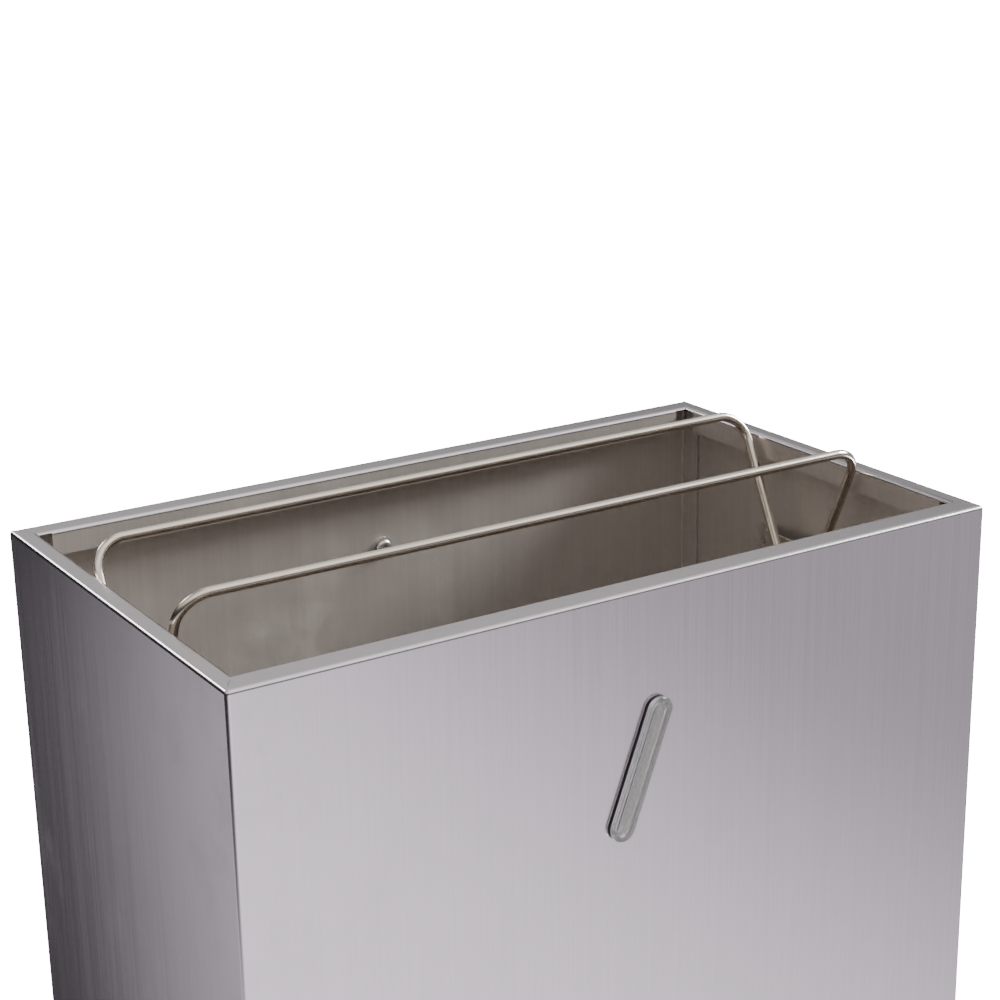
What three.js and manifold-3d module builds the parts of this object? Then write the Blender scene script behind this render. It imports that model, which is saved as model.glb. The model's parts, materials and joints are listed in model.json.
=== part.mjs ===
// Open-topped stainless steel bin with two hinged bag wires. Millimetres, +Z up, front towards -Y,
// origin on the floor under the middle of the object.
import * as THREE from 'three';
import { mergeVertices } from 'three/addons/utils/BufferGeometryUtils.js';
import Module from 'manifold-3d';

const wasm = await Module();
wasm.setup();

// Casing
const WIDTH = 420;
const DEPTH = 250;
const HEIGHT = 600; // floor to rim
const SHEET = 1;
const BEND = 2; // outer radius of every fold in the casing
const SIDE_RIM = 10; // inward flange at the two sides
const LONG_RIM = 15; // inward flange at front and back
const LIP = 13; // down-turned edge, measured from the rim
const LIP_NOTCH = 7; // each lip stops this far short of the mouth's corner
const REAR_RETURN = 18; // side sheet folded round behind the back panel
const PANEL_RETURN = 15; // back panel's edge folded forward inside the side sheet
const RIM_LEG = 5; // wall that the rim's section brings with it
const SEAM = 0.3; // gap between pieces that meet

// Bottom pan and feet
const BODY_LIFT = 6; // floor to the casing's lower edge
const PAN_RECESS = 4;
const PAN_SHEET = 1.2;
const PAN_EDGE = 25;
const FOOT_INSET = 42;
const FOOT_TOP_RADIUS = 14;
const FOOT_BASE_RADIUS = 12;
const FOOT_BORE = 5.4; // recess that hides washer and screw head
const FOOT_BORE_DEPTH = 5;
const FOOT_ROUND = 1;
const FOOT_SIDES = 28;

// Fasteners: thread, head and washer are radii, nut is the width across its flats
const M4 = { thread: 2, head: 4, headHeight: 2.4, nut: 7, nutHeight: 3.2, washer: 4.5, washerSheet: 0.8 };
const M5 = { thread: 2.5, head: 4.75, headHeight: 2.9, nut: 8, nutHeight: 4, washer: 5.5, washerSheet: 1 };
const HOLE_PLAY = 0.35; // hole radius over thread radius
const THREAD_PAST_NUT = 1;
const DRIVE_DEPTH = 1.3;
const DRIVE_WIDTH = 1;
const HEAD_FLAT = 0.45; // share of the head's radius that is flat on top
const HEAD_RIM = 0.25; // share of the head's height that is its upright edge
const THREAD_POINT = 0.5; // chamfer at the thread's end
const LATHE_SIDES = 20;
const RING_SIDES = 24;
const HOLE_SEGMENTS = 10;
const BACK_SCREW_DROP = 50; // rim to the back screw

// Bag wires
const WIRE = 5; // diameter
const WIRE_LEG = 100; // pivot to the middle of the top bar
const LEG_INSET = 15; // outer face of the side to the middle of the leg
const PIVOT_DROP = 79; // rim to the pivots
const PIVOT_HALF_GAP = 8;
const FRONT_LEAN = 23; // degrees from upright
const BACK_LEAN = 26;
const WIRE_BEND = 16;
const PIN_BEND = 3.8;
const PIN_PLAY = 0.5; // pivot hole radius over wire radius
const PIN_WALL_GAP = 4;
const WIRE_SIDES = 14;
const WIRE_ARC_STEPS = 6;

// Pivot brackets
const BRACKET_SHEET = 1.5;
const BRACKET_HALF_WEB = 34;
const BRACKET_RISE = 6;
const BRACKET_FOOT = 9;
const BRACKET_STAND = 8; // side's inner face to the back of the web
const BRACKET_ABOVE = 24;
const BRACKET_BELOW = 16;
const TAB_START = 10; // along the leg, from the pivot
const TAB_LENGTH = 11;
const TAB_PAST_WIRE = 1.5;

// Sight lens
const LENS_LENGTH = 72;
const LENS_WIDTH = 14;
const LENS_LEAN = 21; // degrees
const LENS_DROP = 88; // rim to the lens's middle
const LENS_OFFSET = -4;
const LENS_PROUD = 2.6;
const LENS_ROUND = 1.4;
const LENS_LAP = 2.8; // flange of the lens over the panel
const LENS_WINDOW = 3.6; // thickness of the window
const LENS_WALL = 1.4; // wall of the spigot behind it
const LENS_SPIGOT = 4; // depth behind the panel's outer face
const GASKET = 0.8;
const RETAINER_SHEET = 1.5;
const RETAINER_RIM = 3.5;

// Places that several pieces share
const BOTTOM = BODY_LIFT + PAN_RECESS; // pan's underside
const PANEL_FACE = DEPTH / 2 - SHEET - SEAM; // back panel's outer face
const PANEL_HALF = WIDTH / 2 - SHEET - SEAM;
const PIVOT_Z = HEIGHT - PIVOT_DROP;
const LEG_X = WIDTH / 2 - LEG_INSET;
const PIN_X = WIDTH / 2 - SHEET - PIN_WALL_GAP;
const LENS_FACE = GASKET + 2 * SEAM; // front panel to the back of the lens's flange
const FRONT_PROUD = LENS_FACE + LENS_PROUD;
const BACK_PROUD = M5.nutHeight + SEAM + THREAD_PAST_NUT - (DEPTH / 2 - PANEL_FACE);

const X = new THREE.Vector3(1, 0, 0);
const Y = new THREE.Vector3(0, 1, 0);
const Z = new THREE.Vector3(0, 0, 1);
const EDGE = 1; // how far a cutter runs past what it cuts
const ARC_SEGMENTS = 4; // facets in each fold's quarter round
const LENS_SEGMENTS = 6; // facets in each quarter of the lens's ends
const POINT_RADIUS = 0.1; // stands for a sharp corner in a rounded outline
const radians = THREE.MathUtils.degToRad;

// ---- solids ----

function solid(geometry) {
  const bare = geometry.clone();
  bare.deleteAttribute('normal');
  bare.deleteAttribute('uv');
  const merged = mergeVertices(bare, 1e-4);
  const vertProperties = Float32Array.from(merged.attributes.position.array);
  const triVerts = Uint32Array.from(merged.index.array);
  return new wasm.Manifold(new wasm.Mesh({ numProp: 3, vertProperties, triVerts }));
}

function geometryOf(manifold) {
  const { vertProperties, triVerts } = manifold.getMesh();
  const geometry = new THREE.BufferGeometry();
  geometry.setAttribute('position', new THREE.BufferAttribute(vertProperties, 3));
  geometry.setIndex(new THREE.BufferAttribute(triVerts, 1));
  geometry.computeVertexNormals();
  return geometry;
}

function box(x0, x1, y0, y1, z0, z1) {
  const geometry = new THREE.BoxGeometry(x1 - x0, y1 - y0, z1 - z0);
  geometry.translate((x0 + x1) / 2, (y0 + y1) / 2, (z0 + z1) / 2);
  return solid(geometry);
}

function prism(shape, z0, z1, curveSegments = ARC_SEGMENTS) {
  const geometry = new THREE.ExtrudeGeometry(shape, { depth: z1 - z0, bevelEnabled: false, curveSegments });
  return geometry.translate(0, 0, z0);
}

// A cylinder along a direction, from one distance to another on the line through a point.
function rod(radius, point, direction, from, to, sides = RING_SIDES) {
  const geometry = new THREE.CylinderGeometry(radius, radius, to - from, sides);
  geometry.translate(0, (from + to) / 2, 0);
  geometry.applyQuaternion(new THREE.Quaternion().setFromUnitVectors(Y, direction));
  return solid(geometry.translate(point.x, point.y, point.z));
}

function roundedRectangle(x0, x1, y0, y1, radius) {
  const shape = new THREE.Shape();
  shape.moveTo(x0 + radius, y0);
  shape.lineTo(x1 - radius, y0);
  shape.absarc(x1 - radius, y0 + radius, radius, -Math.PI / 2, 0);
  shape.lineTo(x1, y1 - radius);
  shape.absarc(x1 - radius, y1 - radius, radius, 0, Math.PI / 2);
  shape.lineTo(x0 + radius, y1);
  shape.absarc(x0 + radius, y1 - radius, radius, Math.PI / 2, Math.PI);
  shape.lineTo(x0, y0 + radius);
  shape.absarc(x0 + radius, y0 + radius, radius, Math.PI, 1.5 * Math.PI);
  return shape;
}

// Folded sheet seen from above: a closed band that later cuts open where the sheet ends.
function sheetBand(x0, x1, y0, y1, sheet, z0, z1) {
  const outer = prism(roundedRectangle(x0, x1, y0, y1, BEND), z0, z1);
  const inner = roundedRectangle(x0 + sheet, x1 - sheet, y0 + sheet, y1 - sheet, BEND - sheet);
  return solid(outer).subtract(solid(prism(inner, z0 - EDGE, z1 + EDGE)));
}

// ---- rim ----

// Section through wall, rim and lip: x runs inward from the outer face, y up to the rim at 0.
function rimSection(run) {
  const inner = BEND - SHEET;
  const shape = new THREE.Shape();
  shape.moveTo(0, -RIM_LEG);
  shape.lineTo(SHEET, -RIM_LEG);
  shape.lineTo(SHEET, -BEND);
  shape.absarc(BEND, -BEND, inner, Math.PI, Math.PI / 2, true);
  shape.lineTo(run - BEND, -SHEET);
  shape.absarc(run - BEND, -BEND, inner, Math.PI / 2, 0, true);
  shape.lineTo(run - SHEET, -LIP);
  shape.lineTo(run, -LIP);
  shape.lineTo(run, -BEND);
  shape.absarc(run - BEND, -BEND, BEND, 0, Math.PI / 2);
  shape.lineTo(BEND, 0);
  shape.absarc(BEND, -BEND, BEND, Math.PI / 2, Math.PI);
  return shape;
}

function rimStrip(run, length, inward, start) {
  const along = new THREE.Vector3().crossVectors(inward, Z);
  const basis = new THREE.Matrix4().makeBasis(inward, Z, along).setPosition(start);
  return solid(prism(rimSection(run), 0, length).applyMatrix4(basis));
}

// Plan of the back rim: it meets the side rims on a mitre from outer corner to mouth corner.
function backRimPlan(clearance) {
  const slope = SIDE_RIM / LONG_RIM;
  const shift = clearance * Math.hypot(slope, 1);
  const back = DEPTH / 2 + EDGE;
  const front = DEPTH / 2 - LONG_RIM - EDGE;
  const halfBack = WIDTH / 2 + EDGE * slope - shift;
  const halfFront = halfBack - (back - front) * slope;
  return new THREE.Shape([
    new THREE.Vector2(-halfBack, back),
    new THREE.Vector2(-halfFront, front),
    new THREE.Vector2(halfFront, front),
    new THREE.Vector2(halfBack, back),
  ]);
}

// Rooms at the mouth's four corners that no lip reaches into.
function lipNotches() {
  const top = HEIGHT - BEND;
  const low = HEIGHT - LIP - EDGE;
  const x0 = WIDTH / 2 - SIDE_RIM - LIP_NOTCH;
  const x1 = WIDTH / 2 - SHEET;
  const y0 = DEPTH / 2 - LONG_RIM - LIP_NOTCH;
  const front = -DEPTH / 2 + SHEET;
  const back = PANEL_FACE - SHEET;
  return [
    box(x0, x1, front, -y0, low, top),
    box(-x1, -x0, front, -y0, low, top),
    box(x0, x1, y0, back, low, top),
    box(-x1, -x0, y0, back, low, top),
  ];
}

function cutAll(body, cutters) {
  return cutters.reduce((rest, cutter) => rest.subtract(cutter), body);
}

// ---- casing ----

// The outer form with its rounded upright corners and rounded rim, used to trim the strips.
function casingEnvelope() {
  const inset = roundedRectangle(
    -WIDTH / 2 + BEND, WIDTH / 2 - BEND, -DEPTH / 2 + BEND, DEPTH / 2 - BEND, POINT_RADIUS);
  const geometry = new THREE.ExtrudeGeometry(inset, {
    depth: HEIGHT,
    bevelThickness: BEND,
    bevelSize: BEND,
    bevelSegments: ARC_SEGMENTS,
    curveSegments: ARC_SEGMENTS,
  });
  return solid(geometry.translate(0, 0, -BEND));
}

function bodyWrap() {
  const halfX = WIDTH / 2;
  const halfY = DEPTH / 2;
  const band = sheetBand(-halfX, halfX, -halfY, halfY, SHEET, BODY_LIFT, HEIGHT - BEND - SEAM);
  const rear = halfX - REAR_RETURN;
  const walls = band.subtract(box(-rear, rear, halfY - BEND, halfY + EDGE, 0, HEIGHT));
  const rim = rimStrip(LONG_RIM, WIDTH, Y, new THREE.Vector3(-halfX, -halfY, HEIGHT))
    .add(rimStrip(SIDE_RIM, DEPTH, X, new THREE.Vector3(-halfX, halfY, HEIGHT)))
    .add(rimStrip(SIDE_RIM, DEPTH, X.clone().negate(), new THREE.Vector3(halfX, -halfY, HEIGHT)))
    .intersect(casingEnvelope())
    .subtract(box(-halfX + SHEET, halfX - SHEET, PANEL_FACE - BEND, halfY + EDGE, 0, HEIGHT - BEND));
  const mitre = solid(prism(backRimPlan(0), HEIGHT - BEND, HEIGHT + EDGE));
  const casing = cutAll(walls.add(rim).subtract(mitre), lipNotches());
  return casing.subtract(lensPrism(LENS_LAP - SEAM, -BEND, EDGE));
}

function backPanel() {
  const low = BODY_LIFT;
  const top = HEIGHT - BEND - SEAM;
  const band = sheetBand(-PANEL_HALF, PANEL_HALF, -PANEL_FACE, PANEL_FACE, SHEET, low, top);
  const returnEnd = PANEL_FACE - PANEL_RETURN;
  const panTop = BOTTOM + PAN_EDGE + EDGE;
  const lipLow = HEIGHT - LIP - 2 * EDGE;
  const inside = PANEL_FACE - SHEET;
  const sheet = band
    .subtract(box(-WIDTH, WIDTH, -DEPTH, returnEnd, 0, HEIGHT))
    .subtract(box(-WIDTH, WIDTH, -DEPTH, inside, 0, panTop))
    .subtract(box(-WIDTH, WIDTH, -DEPTH, inside, lipLow, HEIGHT));
  const start = new THREE.Vector3(WIDTH / 2, PANEL_FACE, HEIGHT);
  const run = LONG_RIM - (DEPTH / 2 - PANEL_FACE);
  const strip = rimStrip(run, WIDTH, Y.clone().negate(), start);
  const rimRoom = solid(prism(backRimPlan(SEAM), HEIGHT - BEND, HEIGHT + EDGE));
  const wallHalf = PANEL_HALF - BEND;
  const wallRoom = box(-wallHalf, wallHalf, 0, DEPTH, HEIGHT - LIP - EDGE, HEIGHT - BEND);
  const rim = cutAll(strip.intersect(rimRoom.add(wallRoom)), lipNotches());
  const hole = rod(M5.thread + HOLE_PLAY, backScrewPoint(), Y, -DEPTH / 4, DEPTH / 4);
  return sheet.add(rim).subtract(hole);
}

function bottomPan() {
  const back = PANEL_FACE - SHEET - SEAM;
  const band = sheetBand(-PANEL_HALF, PANEL_HALF, -PANEL_FACE, back, PAN_SHEET, BOTTOM, BOTTOM + PAN_EDGE);
  const plate = prism(
    roundedRectangle(-PANEL_HALF, PANEL_HALF, -PANEL_FACE, back, BEND), BOTTOM, BOTTOM + PAN_SHEET);
  const holes = footPoints().map((point) => rod(M4.thread + HOLE_PLAY, point, Z, 0, HEIGHT / 2));
  return cutAll(band.add(solid(plate)), holes);
}

// ---- sight lens ----

function obround(length, width) {
  const radius = width / 2;
  return roundedRectangle(-radius, radius, -length / 2, length / 2, radius);
}

// Stands a geometry drawn in XY, with its depth along Z, on the front: depth 0 is the panel's face
// and a growing depth comes out towards -Y.
function placeOnFront(geometry) {
  const basis = new THREE.Matrix4().makeBasis(X, Z, Y.clone().negate());
  geometry.rotateZ(-radians(LENS_LEAN)).applyMatrix4(basis);
  return solid(geometry.translate(LENS_OFFSET, -DEPTH / 2, HEIGHT - LENS_DROP));
}

function lensPrism(inset, from, to) {
  const outline = obround(LENS_LENGTH - 2 * inset, LENS_WIDTH - 2 * inset);
  return placeOnFront(prism(outline, from, to, LENS_SEGMENTS));
}

function sightLens() {
  const outline = obround(LENS_LENGTH - 2 * LENS_ROUND, LENS_WIDTH - 2 * LENS_ROUND);
  const dome = new THREE.ExtrudeGeometry(outline, {
    depth: LENS_PROUD,
    bevelThickness: LENS_ROUND,
    bevelSize: LENS_ROUND,
    bevelSegments: LENS_SEGMENTS / 2,
    curveSegments: LENS_SEGMENTS,
  });
  const flange = placeOnFront(dome.translate(0, 0, LENS_FACE - LENS_ROUND))
    .intersect(lensPrism(-EDGE, LENS_FACE, FRONT_PROUD));
  const pocketEnd = FRONT_PROUD - LENS_WINDOW;
  return flange
    .add(lensPrism(LENS_LAP, -LENS_SPIGOT, LENS_FACE + LENS_PROUD / 2))
    .subtract(lensPrism(LENS_LAP + LENS_WALL, -LENS_SPIGOT - EDGE, pocketEnd));
}

function lensGasket() {
  const ring = lensPrism(0, SEAM, SEAM + GASKET);
  return ring.subtract(lensPrism(LENS_LAP - SEAM, 0, LENS_FACE));
}

function lensRetainer() {
  const back = -SHEET - SEAM;
  const ring = lensPrism(LENS_LAP - RETAINER_RIM, back - RETAINER_SHEET, back);
  return ring.subtract(lensPrism(LENS_LAP - SEAM, back - RETAINER_SHEET - EDGE, back + EDGE));
}

// ---- fasteners ----

function backScrewPoint() {
  return new THREE.Vector3(0, PANEL_FACE - SHEET, HEIGHT - BACK_SCREW_DROP);
}

function footPoints() {
  const x = WIDTH / 2 - FOOT_INSET;
  const y = DEPTH / 2 - FOOT_INSET;
  return [
    new THREE.Vector3(-x, -y, BOTTOM),
    new THREE.Vector3(x, -y, BOTTOM),
    new THREE.Vector3(-x, y, BOTTOM),
    new THREE.Vector3(x, y, BOTTOM),
  ];
}

// Pan-head screw: its seat is at the origin, the head behind it and the thread along +Y.
function screw(size, length) {
  const crown = size.headHeight;
  const profile = new THREE.Path();
  profile.moveTo(0, -crown);
  profile.lineTo(size.head * HEAD_FLAT, -crown);
  profile.quadraticCurveTo(size.head, -crown, size.head, -crown * HEAD_RIM);
  profile.lineTo(size.head, 0);
  profile.lineTo(size.thread, 0);
  profile.lineTo(size.thread, length - THREAD_POINT);
  profile.lineTo(size.thread - THREAD_POINT, length);
  profile.lineTo(0, length);
  const body = solid(new THREE.LatheGeometry(profile.getPoints(ARC_SEGMENTS), LATHE_SIDES));
  const reach = size.head / 2;
  const half = DRIVE_WIDTH / 2;
  const slot = box(-reach, reach, -crown - EDGE, -crown + DRIVE_DEPTH, -half, half)
    .add(box(-half, half, -crown - EDGE, -crown + DRIVE_DEPTH, -reach, reach));
  return geometryOf(body.subtract(slot));
}

function ringGeometry(outer, inner, thickness, sides) {
  const shape = new THREE.Shape();
  for (let i = 0; i < sides; i += 1) {
    const angle = (2 * Math.PI * i) / sides;
    const step = i ? 'lineTo' : 'moveTo';
    shape[step](outer * Math.cos(angle), outer * Math.sin(angle));
  }
  shape.holes.push(new THREE.Path().absarc(0, 0, inner, 0, 2 * Math.PI, true));
  return prism(shape, 0, thickness, HOLE_SEGMENTS);
}

function washer(size) {
  return ringGeometry(size.washer, size.thread + HOLE_PLAY, size.washerSheet, RING_SIDES);
}

function hexNut(size) {
  const sides = 6;
  const corner = size.nut / 2 / Math.cos(Math.PI / sides);
  return ringGeometry(corner, size.thread + HOLE_PLAY, size.nutHeight, sides);
}

function rubberFoot() {
  const top = BOTTOM - SEAM;
  const hole = M4.thread + HOLE_PLAY;
  const profile = [
    new THREE.Vector2(FOOT_BORE, 0),
    new THREE.Vector2(FOOT_BASE_RADIUS - FOOT_ROUND, 0),
    new THREE.Vector2(FOOT_BASE_RADIUS, FOOT_ROUND),
    new THREE.Vector2(FOOT_TOP_RADIUS, top - FOOT_ROUND),
    new THREE.Vector2(FOOT_TOP_RADIUS - FOOT_ROUND, top),
    new THREE.Vector2(hole, top),
    new THREE.Vector2(hole, FOOT_BORE_DEPTH),
    new THREE.Vector2(FOOT_BORE, FOOT_BORE_DEPTH),
    new THREE.Vector2(FOOT_BORE, 0),
  ];
  return new THREE.LatheGeometry(profile, FOOT_SIDES).rotateX(Math.PI / 2);
}

// ---- bag wires and their brackets ----

// A path through chosen stations, one section of the wire at each.
class StationPath extends THREE.Curve {
  constructor(stations) {
    super();
    this.stations = stations;
  }

  getUtoTmapping(u) {
    return u;
  }

  getPoint(t) {
    const last = this.stations.length - 1;
    const place = Math.min(Math.max(t, 0), 1) * last;
    const index = Math.min(Math.floor(place), last - 1);
    return this.stations[index].clone().lerp(this.stations[index + 1], place - index);
  }
}

// Stations of a bent wire: its corners become arcs of the given radii.
function bentStations(corners, radii, arcSteps) {
  const stations = [corners[0]];
  for (let i = 1; i < corners.length - 1; i += 1) {
    const before = corners[i - 1].clone().sub(corners[i]).normalize();
    const after = corners[i + 1].clone().sub(corners[i]).normalize();
    const half = before.angleTo(after) / 2;
    const bisector = before.clone().add(after).normalize();
    const centre = corners[i].clone().addScaledVector(bisector, radii[i - 1] / Math.sin(half));
    const tangentLength = radii[i - 1] / Math.tan(half);
    const from = corners[i].clone().addScaledVector(before, tangentLength).sub(centre);
    const turn = new THREE.Vector3().crossVectors(after, before).normalize();
    const sweep = Math.PI - 2 * half;
    for (let k = 0; k <= arcSteps; k += 1) {
      const spoke = from.clone().applyAxisAngle(turn, (sweep * k) / arcSteps);
      stations.push(centre.clone().add(spoke));
    }
  }
  stations.push(corners[corners.length - 1]);
  return stations;
}

// Upright wire with its pivot on the X axis.
function bagWire() {
  const corners = [
    new THREE.Vector3(-PIN_X, 0, 0),
    new THREE.Vector3(-LEG_X, 0, 0),
    new THREE.Vector3(-LEG_X, 0, WIRE_LEG),
    new THREE.Vector3(LEG_X, 0, WIRE_LEG),
    new THREE.Vector3(LEG_X, 0, 0),
    new THREE.Vector3(PIN_X, 0, 0),
  ];
  const stations = bentStations(corners, [PIN_BEND, WIRE_BEND, WIRE_BEND, PIN_BEND], WIRE_ARC_STEPS);
  const section = new THREE.Shape().absarc(0, 0, WIRE / 2, 0, 2 * Math.PI);
  return new THREE.ExtrudeGeometry(section, {
    steps: stations.length - 1,
    curveSegments: WIRE_SIDES / 2,
    extrudePath: new StationPath(stations),
  });
}

// Outline of a folded strip: the given edge and a second one at the sheet's thickness from it.
function foldedStrip(points, sheet) {
  const runs = points.slice(1).map((point, i) => point.clone().sub(points[i]).normalize());
  const second = points.map((point, i) => {
    const before = runs[Math.max(i - 1, 0)];
    const after = runs[Math.min(i, runs.length - 1)];
    const along = before.clone().add(after).normalize();
    const normal = new THREE.Vector2(-along.y, along.x);
    return point.clone().addScaledVector(normal, sheet / along.dot(after));
  });
  return new THREE.Shape([...points, ...second.reverse()]);
}

// Distance from the bin's middle plane to the wire's middle, at a length up the leaning leg.
function legPoint(lean, alongLeg) {
  const angle = radians(lean);
  return { out: PIVOT_HALF_GAP + alongLeg * Math.sin(angle), up: alongLeg * Math.cos(angle) };
}

// Plate across the leg's outer side, or the window in the web that it was folded from.
function tabPrism(end, lean, fromLeg, toLeg, x0, x1) {
  const angle = radians(lean);
  const low = legPoint(lean, TAB_START);
  const geometry = new THREE.BoxGeometry(x1 - x0, toLeg - fromLeg, TAB_LENGTH);
  geometry.translate((x0 + x1) / 2, (fromLeg + toLeg) / 2, TAB_LENGTH / 2);
  geometry.rotateX(-angle).translate(0, low.out, low.up);
  return solid(end < 0 ? geometry.rotateZ(Math.PI).translate(x0 + x1, 0, 0) : geometry);
}

// Right-hand bracket, x inward from the side's inner face, y along the depth, z from the pivots.
function wireBracket() {
  const foot = BRACKET_HALF_WEB + BRACKET_RISE + BRACKET_FOOT;
  const rise = BRACKET_HALF_WEB + BRACKET_RISE;
  const edge = [
    [SEAM, foot], [SEAM, rise], [BRACKET_STAND, BRACKET_HALF_WEB],
    [BRACKET_STAND, -BRACKET_HALF_WEB], [SEAM, -rise], [SEAM, -foot],
  ].map(([x, y]) => new THREE.Vector2(x, y));
  const face = BRACKET_STAND + BRACKET_SHEET;
  const reach = LEG_INSET - SHEET + WIRE / 2 + TAB_PAST_WIRE;
  const near = WIRE / 2 + SEAM;
  let bracket = solid(prism(foldedStrip(edge, BRACKET_SHEET), -BRACKET_BELOW, BRACKET_ABOVE));
  for (const [end, lean] of [[-1, FRONT_LEAN], [1, BACK_LEAN]]) {
    const windowEnd = near + BRACKET_SHEET + reach - face;
    const pivot = new THREE.Vector3(0, end * PIVOT_HALF_GAP, 0);
    bracket = bracket
      .subtract(tabPrism(end, lean, near + BRACKET_SHEET, windowEnd, 0, face + EDGE))
      .add(tabPrism(end, lean, near, near + BRACKET_SHEET, BRACKET_STAND, reach))
      .subtract(rod(WIRE / 2 + PIN_PLAY, pivot, X, 0, face + EDGE, 2 * WIRE_SIDES));
  }
  return geometryOf(bracket);
}

// ---- assembly ----

const STEEL = { color: 0xb4afb4, roughness: 0.34, metalness: 1 };
const INNER_STEEL = { color: 0x9c948c, roughness: 0.42, metalness: 1 };
const WIRE_STEEL = { color: 0xcdc8bf, roughness: 0.2, metalness: 1 };
const ZINC = { color: 0xa8aaac, roughness: 0.35, metalness: 1 };
const CLEAR = { color: 0xe4ebea, roughness: 0.06, metalness: 0, transparent: true, opacity: 0.4 };
const BLACK = { color: 0x1b1b1c, roughness: 0.85, metalness: 0 };
const GREY_PLASTIC = { color: 0x55585a, roughness: 0.5, metalness: 0 };

const bin = new THREE.Group();
const casing = new THREE.Group();
casing.position.y = (FRONT_PROUD - BACK_PROUD) / 2;
bin.add(casing);

function place(name, geometry, finish, parent = casing) {
  const mesh = new THREE.Mesh(geometry, new THREE.MeshStandardMaterial(finish));
  mesh.name = name;
  parent.add(mesh);
  return mesh;
}

place('body_wrap', geometryOf(bodyWrap()), STEEL);
place('back_panel', geometryOf(backPanel()), INNER_STEEL);
place('bottom_pan', geometryOf(bottomPan()), INNER_STEEL);
place('sight_lens', geometryOf(sightLens()), CLEAR);
place('lens_gasket', geometryOf(lensGasket()), BLACK);
place('lens_retainer', geometryOf(lensRetainer()), GREY_PLASTIC);

for (const [name, side] of [['wire_bracket_left', -1], ['wire_bracket_right', 1]]) {
  const geometry = wireBracket();
  // Both brackets are the same pressing, so the left one is its mirror image.
  geometry.scale(-side, 1, 1);
  if (side > 0) {
    geometry.index.array.reverse();
  }
  const mesh = place(name, geometry, INNER_STEEL);
  mesh.position.set(side * (WIDTH / 2 - SHEET), 0, PIVOT_Z);
}

for (const [name, end, lean] of [['bag_wire_front', -1, FRONT_LEAN], ['bag_wire_back', 1, BACK_LEAN]]) {
  const mesh = place(name, bagWire(), WIRE_STEEL);
  mesh.position.set(0, end * PIVOT_HALF_GAP, PIVOT_Z);
  mesh.rotation.x = -end * radians(lean);
}

const backFixing = new THREE.Group();
backFixing.position.copy(backScrewPoint());
casing.add(backFixing);
const backSeat = -M5.washerSheet - 2 * SEAM;
const backThread = SHEET + SEAM + M5.nutHeight + THREAD_PAST_NUT - backSeat;
place('back_screw', screw(M5, backThread), ZINC, backFixing).position.y = backSeat;
const backWasher = place('back_washer', washer(M5), ZINC, backFixing);
backWasher.rotation.x = Math.PI / 2;
backWasher.position.y = -SEAM;
const backNut = place('back_nut', hexNut(M5), ZINC, backFixing);
backNut.rotation.x = -Math.PI / 2;
backNut.position.y = SHEET + SEAM;

const corners = ['front_left', 'front_right', 'back_left', 'back_right'];
footPoints().forEach((point, i) => {
  const station = new THREE.Group();
  station.position.set(point.x, point.y, 0);
  casing.add(station);
  const washerTop = FOOT_BORE_DEPTH - SEAM;
  const seat = washerTop - M4.washerSheet - SEAM;
  const thread = BOTTOM + PAN_SHEET + SEAM + M4.nutHeight + THREAD_PAST_NUT - seat;
  place(`foot_${corners[i]}`, rubberFoot(), BLACK, station);
  place(`foot_washer_${corners[i]}`, washer(M4), ZINC, station).position.z = washerTop - M4.washerSheet;
  const footScrew = place(`foot_screw_${corners[i]}`, screw(M4, thread), ZINC, station);
  footScrew.rotation.x = Math.PI / 2;
  footScrew.position.z = seat;
  place(`foot_nut_${corners[i]}`, hexNut(M4), ZINC, station).position.z = BOTTOM + PAN_SHEET + SEAM;
});

export default bin;
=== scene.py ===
"""Looks of an open-topped satin steel bin whose two hinged wires hold a waste bag open.

Lengths are in metres, +Z is up and the front, with the sight lens, faces -Y. Every piece is built where the
frame has it, so that its object stays at the origin.
"""

import json
import logging
import math
from dataclasses import dataclass, field
from enum import Enum
from typing import Callable, Iterable, Sequence

import bmesh
import bpy
from mathutils import Matrix, Vector


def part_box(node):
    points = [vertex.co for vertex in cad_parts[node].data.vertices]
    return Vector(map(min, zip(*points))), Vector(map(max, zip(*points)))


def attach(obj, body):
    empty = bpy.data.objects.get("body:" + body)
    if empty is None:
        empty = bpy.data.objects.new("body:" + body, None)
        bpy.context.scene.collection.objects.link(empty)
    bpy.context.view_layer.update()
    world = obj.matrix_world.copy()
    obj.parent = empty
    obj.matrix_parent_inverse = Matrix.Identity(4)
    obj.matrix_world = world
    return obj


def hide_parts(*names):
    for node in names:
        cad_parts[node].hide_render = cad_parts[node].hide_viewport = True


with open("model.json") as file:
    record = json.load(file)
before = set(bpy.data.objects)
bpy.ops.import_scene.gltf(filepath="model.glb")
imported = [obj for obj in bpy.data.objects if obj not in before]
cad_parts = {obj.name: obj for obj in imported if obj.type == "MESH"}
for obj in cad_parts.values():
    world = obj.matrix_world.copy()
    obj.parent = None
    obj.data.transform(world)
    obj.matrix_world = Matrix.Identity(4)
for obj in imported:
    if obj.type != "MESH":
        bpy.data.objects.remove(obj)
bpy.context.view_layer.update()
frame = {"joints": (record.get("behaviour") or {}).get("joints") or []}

MM = 0.001
SAME_POINT = 1e-7
SAME_CUT = 1e-6
SLIVER = 0.1 * MM
DRILL = 10 * MM
log = logging.getLogger("bin")

Colour = tuple[float, float, float]
Point = tuple[float, float, float]
Band = tuple[float, float, float, float]
Mesh = bmesh.types.BMesh
Face = bmesh.types.BMFace
Edge = bmesh.types.BMEdge
Socket = bpy.types.NodeSocket
CORNERS = ("front_left", "front_right", "back_left", "back_right")


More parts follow.
